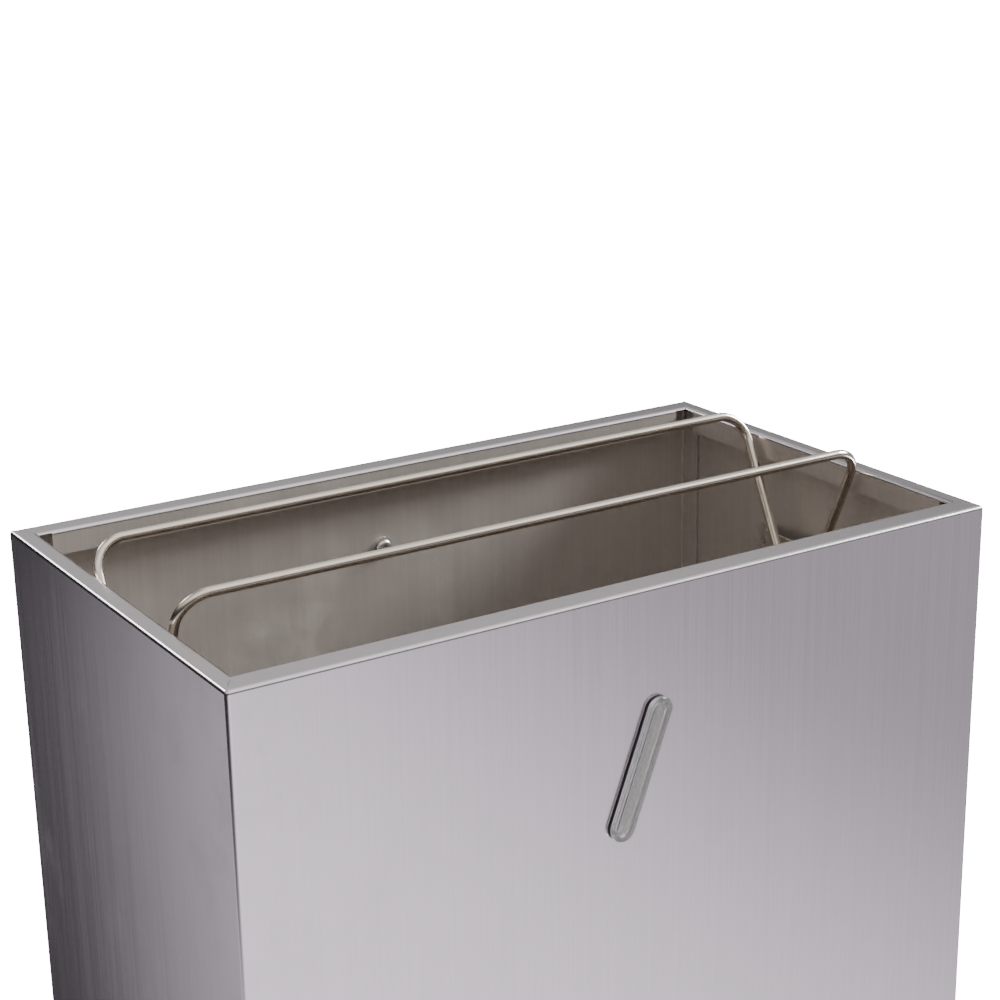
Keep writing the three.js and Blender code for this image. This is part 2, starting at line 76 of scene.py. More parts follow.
class Grain(Enum):
    """Which way the satin lines of a finish run."""

    UPRIGHT = (1.0, 1.0, 0.007)
    ACROSS = (0.007, 1.0, 1.0)
    INWARD = (1.0, 0.007, 1.0)
    NONE = (1.0, 1.0, 1.0)


class Body(Enum):
    """The bodies of the frame that pieces ride on."""

    CASING = "casing"
    FRONT_WIRE = "front_wire"
    BACK_WIRE = "back_wire"


# ---------------------------------------------------------------------------
# Bench tools: small bmesh operations that the pieces share
# ---------------------------------------------------------------------------


def faces_where(mesh: Mesh, test: Callable[[Face], bool]) -> list[Face]:
    """The faces of a mesh that pass a test."""
    mesh.normal_update()
    return [f for f in mesh.faces if test(f)]


def edges_where(mesh: Mesh, test: Callable[[Vector, Vector], bool]) -> list[Edge]:
    """The edges of a mesh whose two end points pass a test."""
    return [e for e in mesh.edges if test(e.verts[0].co, e.verts[1].co)]


def near(a: float, b: float, slack: float = 0.02 * MM) -> bool:
    """Says whether two lengths are the same to within a hair."""
    return abs(a - b) < slack


def fold(mesh: Mesh, edges: Sequence[Edge], radius: float, segments: int = 6) -> None:
    """Rounds edges, as a press brake rounds the folds of a sheet.

    Args:
        mesh: The mesh to change.
        edges: The edges to round.
        radius: Outer radius of the fold.
        segments: Facets in each fold.
    """
    bmesh.ops.bevel(
        mesh, geom=list(edges), offset=radius, offset_type="OFFSET", segments=segments,
        profile=0.5, affect="EDGES", clamp_overlap=False, material=-1,
    )


def ease(mesh: Mesh, angle: float, radius: float, segments: int = 2) -> None:
    """Breaks every edge sharper than an angle.

    Args:
        mesh: The mesh to change.
        angle: Least angle between an edge's two faces, in degrees.
        radius: How far the edge is taken back.
        segments: Facets in each eased edge.
    """
    limit = math.radians(angle)
    sharp = [e for e in mesh.edges if len(e.link_faces) == 2 and e.calc_face_angle(0) > limit]
    fold(mesh, sharp, radius, segments)


def centre(face: Face) -> Vector:
    """The middle of a face."""
    return face.calc_center_median()


def remove(mesh: Mesh, faces: Sequence[Face]) -> None:
    """Deletes faces, with the edges that no other face uses."""
    bmesh.ops.delete(mesh, geom=faces, context="FACES")


def face_up(mesh: Mesh, axis: int) -> None:
    """Turns a skin, whose faces agree with each other, so that its largest one looks up an axis."""
    mesh.normal_update()
    if max(mesh.faces, key=lambda f: f.calc_area()).normal[axis] < 0:
        bmesh.ops.reverse_faces(mesh, faces=mesh.faces)


def cut(mesh: Mesh, faces: Iterable[Face], point: Point, normal: Point) -> None:
    """Cuts some faces along a plane.

    Args:
        mesh: The mesh to change.
        faces: The faces that the plane may cut.
        point: A point on the plane.
        normal: The plane's normal.
    """
    chosen = set(faces)
    parts = chosen | {e for f in chosen for e in f.edges} | {v for f in chosen for v in f.verts}
    bmesh.ops.bisect_plane(mesh, geom=list(parts), dist=SAME_CUT, plane_co=point, plane_no=normal)


def extrude(mesh: Mesh, edges: Sequence[Edge], step: Point) -> list[Edge]:
    """Draws a sheet out of some edges.

    Args:
        mesh: The mesh to change.
        edges: The edges to draw from.
        step: How far and which way they move.

    Returns:
        The new outer edges.
    """
    made = bmesh.ops.extrude_edge_only(mesh, edges=list(edges))["geom"]
    verts = [g for g in made if isinstance(g, bmesh.types.BMVert)]
    bmesh.ops.translate(mesh, vec=step, verts=verts)
    moved = set(verts)
    return [g for g in made if isinstance(g, Edge) and set(g.verts) <= moved]


def box(low: Point, high: Point) -> Mesh:
    """Makes a block between two corners.

    Args:
        low: Its lowest corner.
        high: Its highest corner.

    Returns:
        The block.
    """
    mesh = bmesh.new()
    bmesh.ops.create_cube(mesh, size=1)
    size = [b - a for a, b in zip(low, high)]
    bmesh.ops.scale(mesh, vec=size, verts=mesh.verts)
    bmesh.ops.translate(mesh, vec=[(a + b) / 2 for a, b in zip(low, high)], verts=mesh.verts)
    return mesh


def cylinder(radius: float, start: Point, end: Point, segments: int = 40) -> Mesh:
    """Makes a round bar between two points.

    Args:
        radius: Its radius.
        start: Middle of one end.
        end: Middle of the other end.
        segments: Sides of the bar.

    Returns:
        The bar.
    """
    mesh = bmesh.new()
    line = Vector(end) - Vector(start)
    turn = line.to_track_quat("Z", "Y").to_matrix().to_4x4()
    place = Matrix.Translation((Vector(start) + Vector(end)) / 2) @ turn
    bmesh.ops.create_cone(
        mesh, cap_ends=True, segments=segments, radius1=radius, radius2=radius,
        depth=line.length, matrix=place)
    return mesh


def turned(profile: Sequence[tuple[float, float]], segments: int = 48) -> Mesh:
    """Turns a profile about Z, as on a lathe.

    Args:
        profile: Radius and height of each corner, in order. One that is off the axis at both ends closes
            on itself.
        segments: Steps round the axis.

    Returns:
        The closed solid.
    """
    mesh = bmesh.new()
    verts = [mesh.verts.new((radius, 0, height)) for radius, height in profile]
    pairs = list(zip(verts, verts[1:]))
    if profile[0][0] > 0:
        pairs.append((verts[-1], verts[0]))
    edges = [mesh.edges.new(pair) for pair in pairs]
    bmesh.ops.spin(
        mesh, geom=verts + edges, cent=(0, 0, 0), axis=(0, 0, 1), dvec=(0, 0, 0),
        angle=math.tau, steps=segments, use_merge=True, use_duplicate=False)
    bmesh.ops.remove_doubles(mesh, verts=mesh.verts, dist=SAME_POINT)
    bmesh.ops.recalc_face_normals(mesh, faces=mesh.faces)
    return mesh


def place(mesh: Mesh, matrix: Matrix) -> Mesh:
    """Moves a whole mesh and returns it."""
    bmesh.ops.transform(mesh, matrix=matrix, verts=mesh.verts)
    return mesh


def merge(meshes: Iterable[Mesh]) -> Mesh:
    """Puts several meshes into one.

    Args:
        meshes: The meshes, which are used up.

    Returns:
        One mesh with all their faces.
    """
    whole = bmesh.new()
    for mesh in meshes:
        carrier = bpy.data.meshes.new("carrier")
        mesh.to_mesh(carrier)
        mesh.free()
        whole.from_mesh(carrier)
        bpy.data.meshes.remove(carrier)
    return whole


def linked(name: str, data: bpy.types.ID | None) -> bpy.types.Object:
    """Makes an object of some data and puts it into the scene."""
    made = bpy.data.objects.new(name, data)
    bpy.context.scene.collection.objects.link(made)
    return made


def solid(name: str, mesh: Mesh) -> bpy.types.Object:
    """Makes an object in the scene of a mesh, which is used up."""
    data = bpy.data.meshes.new(name)
    mesh.to_mesh(data)
    mesh.free()
    return linked(name, data)


def middle_of(node: str) -> Vector:
    """The middle of a node's box in the frame."""
    low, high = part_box(node)
    return (low + high) / 2


class Blank:
    """A piece on the bench: a mesh that modifiers thicken, bore and join before it is dressed."""

    def __init__(self, name: str, mesh: Mesh) -> None:
        """Takes a mesh on to the bench.

        Args:
            name: The piece's name.
            mesh: Its first shape, which is used up.
        """
        self.object = solid(name, mesh)

    def _apply(self, kind: str, **settings: object) -> None:
        """Puts one modifier on the piece and bakes it into the mesh.

        Args:
            kind: The modifier's type.
            settings: Its properties.
        """
        modifier = self.object.modifiers.new(kind.lower(), kind)
        for key, value in settings.items():
            setattr(modifier, key, value)
        graph = bpy.context.evaluated_depsgraph_get()
        shaped = bpy.data.meshes.new_from_object(self.object.evaluated_get(graph))
        old = self.object.data
        self.object.modifiers.clear()
        self.object.data = shaped
        shaped.name = self.object.name
        bpy.data.meshes.remove(old)

    def thicken(self, sheet: float) -> "Blank":
        """Gives a skin its sheet thickness, inwards, and returns the piece."""
        self._apply("SOLIDIFY", thickness=sheet, offset=-1.0, use_even_offset=True)
        return self

    def _combine(self, tool: Mesh, operation: str) -> "Blank":
        """Runs one boolean and returns the piece.

        Args:
            tool: The other solid, which is used up.
            operation: Which boolean.

        Returns:
            This piece.
        """
        bmesh.ops.recalc_face_normals(tool, faces=tool.faces)
        other = solid("tool", tool)
        self._apply("BOOLEAN", operation=operation, solver="EXACT", object=other)
        data = other.data
        bpy.data.objects.remove(other)
        bpy.data.meshes.remove(data)
        return self

    def bore(self, tool: Mesh) -> "Blank":
        """Cuts a solid away and returns the piece."""
        return self._combine(tool, "DIFFERENCE")

    def weld(self, tool: Mesh) -> "Blank":
        """Joins a solid on and returns the piece."""
        return self._combine(tool, "UNION")

    def keep(self, tool: Mesh) -> "Blank":
        """Keeps only what lies in a solid and returns the piece."""
        return self._combine(tool, "INTERSECT")

    def eased(self, angle: float, radius: float, segments: int = 2) -> "Blank":
        """Breaks the piece's sharp edges.

        Args:
            angle: Least angle between an edge's faces, in degrees.
            radius: How far the edge is taken back.
            segments: Facets in each eased edge.

        Returns:
            This piece.
        """
        mesh = bmesh.new()
        mesh.from_mesh(self.object.data)
        bmesh.ops.remove_doubles(mesh, verts=mesh.verts, dist=SAME_POINT)
        bmesh.ops.dissolve_limit(
            mesh, angle_limit=math.radians(0.5), verts=mesh.verts, edges=mesh.edges)
        ease(mesh, angle, radius, segments)
        mesh.to_mesh(self.object.data)
        mesh.free()
        return self

    def dress_part(self, finish: "Finish", test: Callable[[Vector], bool]) -> None:
        """Gives some faces of a dressed piece a second finish.

        Args:
            finish: Their material.
            test: Says by a face's middle whether it takes it.
        """
        data = self.object.data
        data.materials.append(finish.material())
        for face in data.polygons:
            if test(face.center):
                face.material_index = len(data.materials) - 1

    def dress(self, finish: "Finish", slot: str, body: Body, *nodes: str,
              sharp: float = 35.0) -> bpy.types.Object:
        """Shades the piece, gives it its finish and hangs it on its body.

        Args:
            finish: The piece's material.
            slot: The record's material slot; not used.
            body: The body that it rides on.
            nodes: The frame's nodes that it stands for.
            sharp: Angle past which an edge stays sharp, in degrees.

        Returns:
            The finished object.
        """
        piece = self.object
        piece.data.validate()
        piece.data.materials.clear()
        piece.data.materials.append(finish.material())
        piece.data.shade_smooth()
        piece.data.set_sharp_from_angle(angle=math.radians(sharp))
        weights = piece.modifiers.new("even_flats", "WEIGHTED_NORMAL")
        weights.keep_sharp = True
        weights.weight = 80
        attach(piece, body.value)
        if nodes:
            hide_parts(*nodes)
        log.info("%s: %d faces, rides on %s", piece.name, len(piece.data.polygons), body.value)
        return piece


# ---------------------------------------------------------------------------
# Finishes
# ---------------------------------------------------------------------------


class Tree:
    """A node tree with short calls for adding and joining nodes."""

    def __init__(self, tree: bpy.types.NodeTree) -> None:
        """Takes over an empty node tree."""
        self.tree = tree

    def node(self, kind: str, inputs: dict[str | int, object] | None = None,
             **settings: object) -> bpy.types.Node:
        """Adds a node.

        Args:
            kind: The node's type, without its ShaderNode prefix.
            inputs: Values or sockets for its inputs.
            settings: The node's properties.

        Returns:
            The node.
        """
        made = self.tree.nodes.new(f"ShaderNode{kind}")
        for key, value in settings.items():
            setattr(made, key, value)
        for key, value in (inputs or {}).items():
            if isinstance(value, Socket):
                self.tree.links.new(value, made.inputs[key])
            else:
                made.inputs[key].default_value = value
        return made

    def math(self, operation: str, first: object, second: object = 0.0,
             clamp: bool = False) -> Socket:
        """Adds a math node over two values or sockets and returns its result."""
        return self.node("Math", {0: first, 1: second}, operation=operation, use_clamp=clamp).outputs[0]

    def spread(self, value: object, low: float, high: float, to_low: float,
               to_high: float) -> Socket:
        """Maps one range on to another with soft ends.

        Args:
            value: The value or socket to map.
            low: Start of the range it comes from.
            high: End of that range.
            to_low: What the start becomes.
            to_high: What the end becomes.

        Returns:
            The result's socket.
        """
        return self.node(
            "MapRange", {0: value, 1: low, 2: high, 3: to_low, 4: to_high},
            interpolation_type="SMOOTHSTEP").outputs[0]

    def blend(self, share: object, first: object, second: object) -> Socket:
        """Mixes two colours.

        Args:
            share: How much of the second one there is.
            first: A colour or socket.
            second: A colour or socket.

        Returns:
            The result's socket.
        """
        first, second = (c if isinstance(c, Socket) else (*c, 1.0) for c in (first, second))
        return self.node("Mix", {0: share, 6: first, 7: second}, data_type="RGBA").outputs[2]

    def product(self, first: object, second: object) -> Socket:
        """Multiplies two values or sockets."""
        return self.math("MULTIPLY", first, second)

    def total(self, first: object, second: object) -> Socket:
        """Adds two values or sockets."""
        return self.math("ADD", first, second)

    def where(self) -> Socket:
        """The point on the piece, in its own space."""
        return self.node("TexCoord").outputs["Object"]

    def along(self, vector: Socket, direction: object) -> Socket:
        """How far a vector goes in a direction."""
        return self.node("VectorMath", {0: vector, 1: direction}, operation="DOT_PRODUCT").outputs["Value"]

    def effect(self, group: bpy.types.NodeTree, **inputs: object) -> bpy.types.bpy_prop_collection:
        """Places a shared effect and returns its outputs."""
        return self.node("Group", inputs, node_tree=group).outputs

    def bump(self, height: Socket, strength: float, depth: float) -> Socket:
        """Turns a height into a normal, with its depth in millimetres."""
        return self.node("Bump", {"Strength": strength, "Distance": depth * MM, "Height": height}).outputs[0]

    def finish(self, kind: str, surface: Socket) -> None:
        """Ends the tree in an output of some kind."""
        self.tree.links.new(surface, self.node(f"Output{kind}").inputs["Surface"])

    def noise(self, vector: Socket, scale: float, detail: float = 3.0,
              roughness: float = 0.55) -> Socket:
        """Adds a noise texture with so many lumps a metre and returns its value."""
        return self.node(
            "TexNoise", {"Vector": vector, "Scale": scale, "Detail": detail, "Roughness": roughness,
                         "Lacunarity": 2.37}).outputs["Fac"]


def shared(name: str, inputs: dict[str, tuple[str, float]], outputs: Sequence[str],
           build: Callable[[Tree, bpy.types.Node], dict[str, Socket]]) -> bpy.types.NodeTree:
    """Makes an effect that several finishes share, once.

    Args:
        name: The effect's name.
        inputs: Socket type and default value of each input.
        outputs: Names of the values that it gives.
        build: Fills the group and returns a socket for each output.

    Returns:
        The node group.
    """
    if name in bpy.data.node_groups:
        return bpy.data.node_groups[name]
    group = bpy.data.node_groups.new(name, "ShaderNodeTree")
    for label, (kind, default) in inputs.items():
        socket = group.interface.new_socket(label, in_out="INPUT", socket_type=f"NodeSocket{kind}")
        if kind == "Float":
            socket.default_value = default
    for label in outputs:
        group.interface.new_socket(label, in_out="OUTPUT", socket_type="NodeSocketFloat")
    start, end = group.nodes.new("NodeGroupInput"), group.nodes.new("NodeGroupOutput")
    for label, socket in build(Tree(group), start).items():
        group.links.new(socket, end.inputs[label])
    return group


def grain_effect() -> bpy.types.NodeTree:
    """Satin lines: long fine streaks with some coarser ones between them."""

    def build(tree: Tree, given: bpy.types.Node) -> dict[str, Socket]:
        """Fills the group."""
        where = given.outputs["Vector"]
        fine = tree.noise(where, 1130.0, 4.0, 0.75)
        broad = tree.noise(where, 173.0, 4.0, 0.6)
        streaks = tree.total(tree.product(fine, 0.7), tree.product(broad, 0.3))
        return {"Streaks": tree.spread(streaks, 0.3, 0.7, 0.0, 1.0)}

    return shared("satin_grain", {"Vector": ("Vector", 0.0)}, ["Streaks"], build)


def wear_effect() -> bpy.types.NodeTree:
    """Edges that hands and bags have rubbed bright."""

    def build(tree: Tree, given: bpy.types.Node) -> dict[str, Socket]:
        """Fills the group."""
        rounded = tree.node("Bevel", {"Radius": given.outputs["Reach"]}, samples=4)
        plain = tree.node("NewGeometry")
        facing = tree.along(rounded.outputs[0], plain.outputs["Normal"])
        edge = tree.spread(facing, 0.999, 0.9, 0.0, 1.0)
        patchy = tree.spread(tree.noise(given.outputs["Vector"], 160.0, 4.0), 0.35, 0.65, 0.35, 1.0)
        return {"Edge": tree.math("MULTIPLY", edge, patchy, clamp=True)}

    return shared(
        "edge_wear", {"Vector": ("Vector", 0.0), "Reach": ("Float", 0.8 * MM)}, ["Edge"], build)


def handling_effect() -> bpy.types.NodeTree:
    """Wipe marks, finger marks and faint dust on a large scale."""

    def build(tree: Tree, given: bpy.types.Node) -> dict[str, Socket]:
        """Fills the group."""
        where = given.outputs["Vector"]
        cloud = tree.noise(where, 7.0, 4.0, 0.6)
        prints = tree.noise(where, 38.0, 3.0, 0.5)
        marks = tree.product(tree.spread(cloud, 0.45, 0.75, 0.0, 1.0),
                          tree.spread(prints, 0.4, 0.7, 0.2, 1.0))
        dust = tree.spread(tree.noise(where, 900.0, 2.0, 0.7), 0.62, 0.78, 0.0, 1.0)
        return {"Marks": marks, "Cloud": cloud, "Dust": dust}

    return shared("handling", {"Vector": ("Vector", 0.0)}, ["Marks", "Cloud", "Dust"], build)


@dataclass(frozen=True)
class Finish:
    """What every finish has: a name and a base colour."""

    name: str
    colour: Colour

    def material(self) -> bpy.types.Material:
        """Builds the material once and returns it."""
        label = f"{self.name}.finish"
        if label in bpy.data.materials:
            return bpy.data.materials[label]
        made = bpy.data.materials.new(label)
        made.use_nodes = True
        made.node_tree.nodes.clear()
        tree = Tree(made.node_tree)
        tree.finish("Material", self.shader(tree))
        return made

    def shader(self, tree: Tree) -> Socket:
        """Builds the surface and returns its socket."""
        raise NotImplementedError

    @staticmethod
    def principled(tree: Tree, colour: object, rough: Socket, normal: Socket, **others: float) -> Socket:
        """Makes the surface.

        Args:
            tree: The material's nodes.
            colour: Its base colour.
            rough: Its roughness.
            normal: Its normal.
            others: Constant inputs, with underscores for the spaces in their names.

        Returns:
            The shader's socket.
        """
        given = {key.replace("_", " "): value for key, value in others.items()}
        return tree.node("BsdfPrincipled", {
            "Base Color": colour, "Roughness": rough, "Normal": normal, **given}).outputs[0]


@dataclass(frozen=True)
class Steel(Finish):
    """Stainless steel sheet, wire or fastener."""

    roughness: float = 0.3
    grain: Grain = Grain.UPRIGHT
    grain_depth: float = 0.02
    contrast: float = 0.12
    wear: float = 0.5
    marks: float = 0.06
    metallic: float = 1.0

    def shader(self, tree: Tree) -> Socket:
        """Satin lines, marks and rubbed edges over bright metal."""
        where = tree.where()
        along = tree.node("Mapping", {"Vector": where, "Scale": self.grain.value}).outputs[0]
        streaks = tree.effect(grain_effect(), Vector=along)["Streaks"]
        handled = tree.effect(handling_effect(), Vector=where)
        edge = tree.effect(wear_effect(), Vector=where)["Edge"]
        dark = tuple(c * (1 - self.contrast) for c in self.colour)
        light = tuple(min(c * (1 + self.contrast), 1) for c in self.colour)
        metal = tree.blend(streaks, dark, light)
        cloudy = tree.blend(
            tree.spread(handled["Cloud"], 0.3, 0.7, 0.0, 0.35), metal, self.colour)
        soiled = tree.blend(
            tree.product(handled["Marks"], 0.25), cloudy,
            tuple(c * 0.8 for c in self.colour))
        bright = tuple(min(c * 1.25, 0.95) for c in self.colour)
        colour = tree.blend(tree.product(edge, self.wear), soiled, bright)
        rough = tree.total(self.roughness, tree.product(tree.math("SUBTRACT", streaks, 0.5), 0.045))
        rough = tree.total(rough, tree.product(handled["Marks"], self.marks))
        rough = tree.math("SUBTRACT", rough, tree.product(edge, 0.12 * self.wear), clamp=True)
        normal = tree.bump(streaks, 0.2, self.grain_depth)
        return self.principled(tree, colour, rough, normal, Metallic=self.metallic)


@dataclass(frozen=True)
class Weld(Finish):
    """A ground weld, straw and blue where the heat tinted it."""

    def shader(self, tree: Tree) -> Socket:
        """Ripples of a bead with a trace of heat tint."""
        where = tree.where()
        tint = tree.spread(tree.noise(where, 260.0, 2.0), 0.35, 0.65, 0.0, 1.0)
        colour = tree.blend(tint, self.colour, (0.47, 0.41, 0.33))
        ripple = tree.noise(where, 1500.0, 3.0, 0.7)
        edge = tree.effect(wear_effect(), Vector=where)["Edge"]
        rough = tree.math("SUBTRACT", tree.spread(ripple, 0.3, 0.7, 0.22, 0.42),
                          tree.product(edge, 0.08))
        return self.principled(tree, colour, rough, tree.bump(ripple, 0.5, 0.05), Metallic=1.0)


@dataclass(frozen=True)
class ClearPlastic(Finish):
    """Moulded polycarbonate with faint flow waves and dust."""

    def shader(self, tree: Tree) -> Socket:
        """Clear, slightly wavy and not quite clean."""
        where = tree.where()
        handled = tree.effect(handling_effect(), Vector=where)
        waves = tree.noise(where, 220.0, 2.0, 0.4)
        rough = tree.total(0.03, tree.product(handled["Dust"], 0.2))
        colour = tree.blend(handled["Marks"], self.colour, (0.86, 0.88, 0.87))
        return self.principled(tree, colour, rough, tree.bump(waves, 0.25, 0.08), Metallic=0.0,
                               IOR=1.585, Transmission_Weight=0.93)


@dataclass(frozen=True)
class Moulding(Finish):
    """Rubber, foam or nylon with a moulded or cellular skin."""

    roughness: float = 0.7
    pores: float = 1400.0
    depth: float = 0.06
    sheen: float = 0.0

    def shader(self, tree: Tree) -> Socket:
        """Fine pores, dust in the hollows and rubbed edges."""
        where = tree.where()
        handled = tree.effect(handling_effect(), Vector=where)
        edge = tree.effect(wear_effect(), Vector=where)["Edge"]
        pores = tree.noise(where, self.pores, 3.0, 0.6)
        pale = tuple(min(c * 1.5 + 0.03, 1) for c in self.colour)
        dusty = tree.blend(tree.product(handled["Dust"], 0.5), self.colour, pale)
        colour = tree.blend(tree.product(edge, 0.5), dusty, pale)
        uneven = tree.product(tree.math("SUBTRACT", pores, 0.5), 0.3)
        rough = tree.math("ADD", self.roughness, uneven, clamp=True)
        return self.principled(tree, colour, rough, tree.bump(pores, 0.6, self.depth), Metallic=0.0,
                               Sheen_Weight=self.sheen)


OUTER_STEEL = Steel("outer_satin_steel", (0.66, 0.63, 0.665), roughness=0.2, grain=Grain.UPRIGHT,
                    contrast=0.04)
INNER_STEEL = Steel("inner_mill_steel", (0.60, 0.556, 0.522), roughness=0.42, grain=Grain.UPRIGHT,
                    contrast=0.05, marks=0.15, metallic=0.8)
BRACKET_STEEL = Steel("bracket_steel", (0.68, 0.64, 0.60), roughness=0.34, grain=Grain.INWARD)
WIRE_STEEL = Steel("drawn_wire_steel", (0.70, 0.63, 0.545), roughness=0.22, grain=Grain.ACROSS,
                   grain_depth=0.01, contrast=0.06)
FASTENER_STEEL = Steel("fastener_steel", (0.55, 0.54, 0.52), roughness=0.28, grain=Grain.NONE,
                       grain_depth=0.01, contrast=0.06, wear=0.8)
GROUND_WELD = Weld("ground_weld", (0.56, 0.54, 0.55))
CLEAR_LENS = ClearPlastic("clear_lens", (0.93, 0.935, 0.94))
GASKET_FOAM = Moulding("gasket_foam", (0.025, 0.025, 0.027), roughness=0.85, pores=2600.0, depth=0.12)
RETAINER_NYLON = Moulding("retainer_nylon", (0.22, 0.225, 0.235), roughness=0.5)
FOOT_RUBBER = Moulding("foot_rubber", (0.03, 0.03, 0.032), roughness=0.68, depth=0.09, sheen=0.15)


# ---------------------------------------------------------------------------
# Casing
# ---------------------------------------------------------------------------


@dataclass(frozen=True)
class CasingSizes:
    """Driving sizes of the folded casing, with its overall ones read from the frame."""

    half_width: float = field(default_factory=lambda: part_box("body_wrap")[1].x)
    half_depth: float = field(default_factory=lambda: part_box("body_wrap")[1].y)
    height: float = field(default_factory=lambda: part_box("body_wrap")[1].z)
    lift: float = field(default_factory=lambda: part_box("body_wrap")[0].z)
    sheet: float = 1.0 * MM
    bend: float = 2.0 * MM
    side_rim: float = 10.0 * MM
    long_rim: float = 15.0 * MM
    lip: float = 13.0 * MM
    notch: float = 7.0 * MM
    seam: float = 0.3 * MM
    rear_return: float = 18.0 * MM
    panel_return: float = 15.0 * MM

    @property
    def panel_face(self) -> float:
        """Y of the back panel's outer face."""
        return self.half_depth - self.sheet - self.seam

    @property
    def panel_half(self) -> float:
        """X of the back panel's outer edge."""
        return self.half_width - self.sheet - self.seam

    @property
    def rim_strip(self) -> float:
        """Z at which the back panel widens into its rim."""
        return self.height - self.bend - 0.5 * MM

    @property
    def mouth(self) -> tuple[float, float]:
        """Half sizes of the mouth between the lips' outer bends."""
        return self.half_width - self.side_rim, self.half_depth - self.long_rim

    def mitre(self, side: int) -> tuple[Point, Vector]:
        """The plane on which a side rim meets the back rim.

        Args:
            side: -1 for the left one, 1 for the right one.

        Returns:
            A point on the plane, and its normal towards the side rim.
        """
        normal = Vector((side * self.long_rim, -self.side_rim, 0)).normalized()
        return (side * self.half_width, self.half_depth, self.height), normal


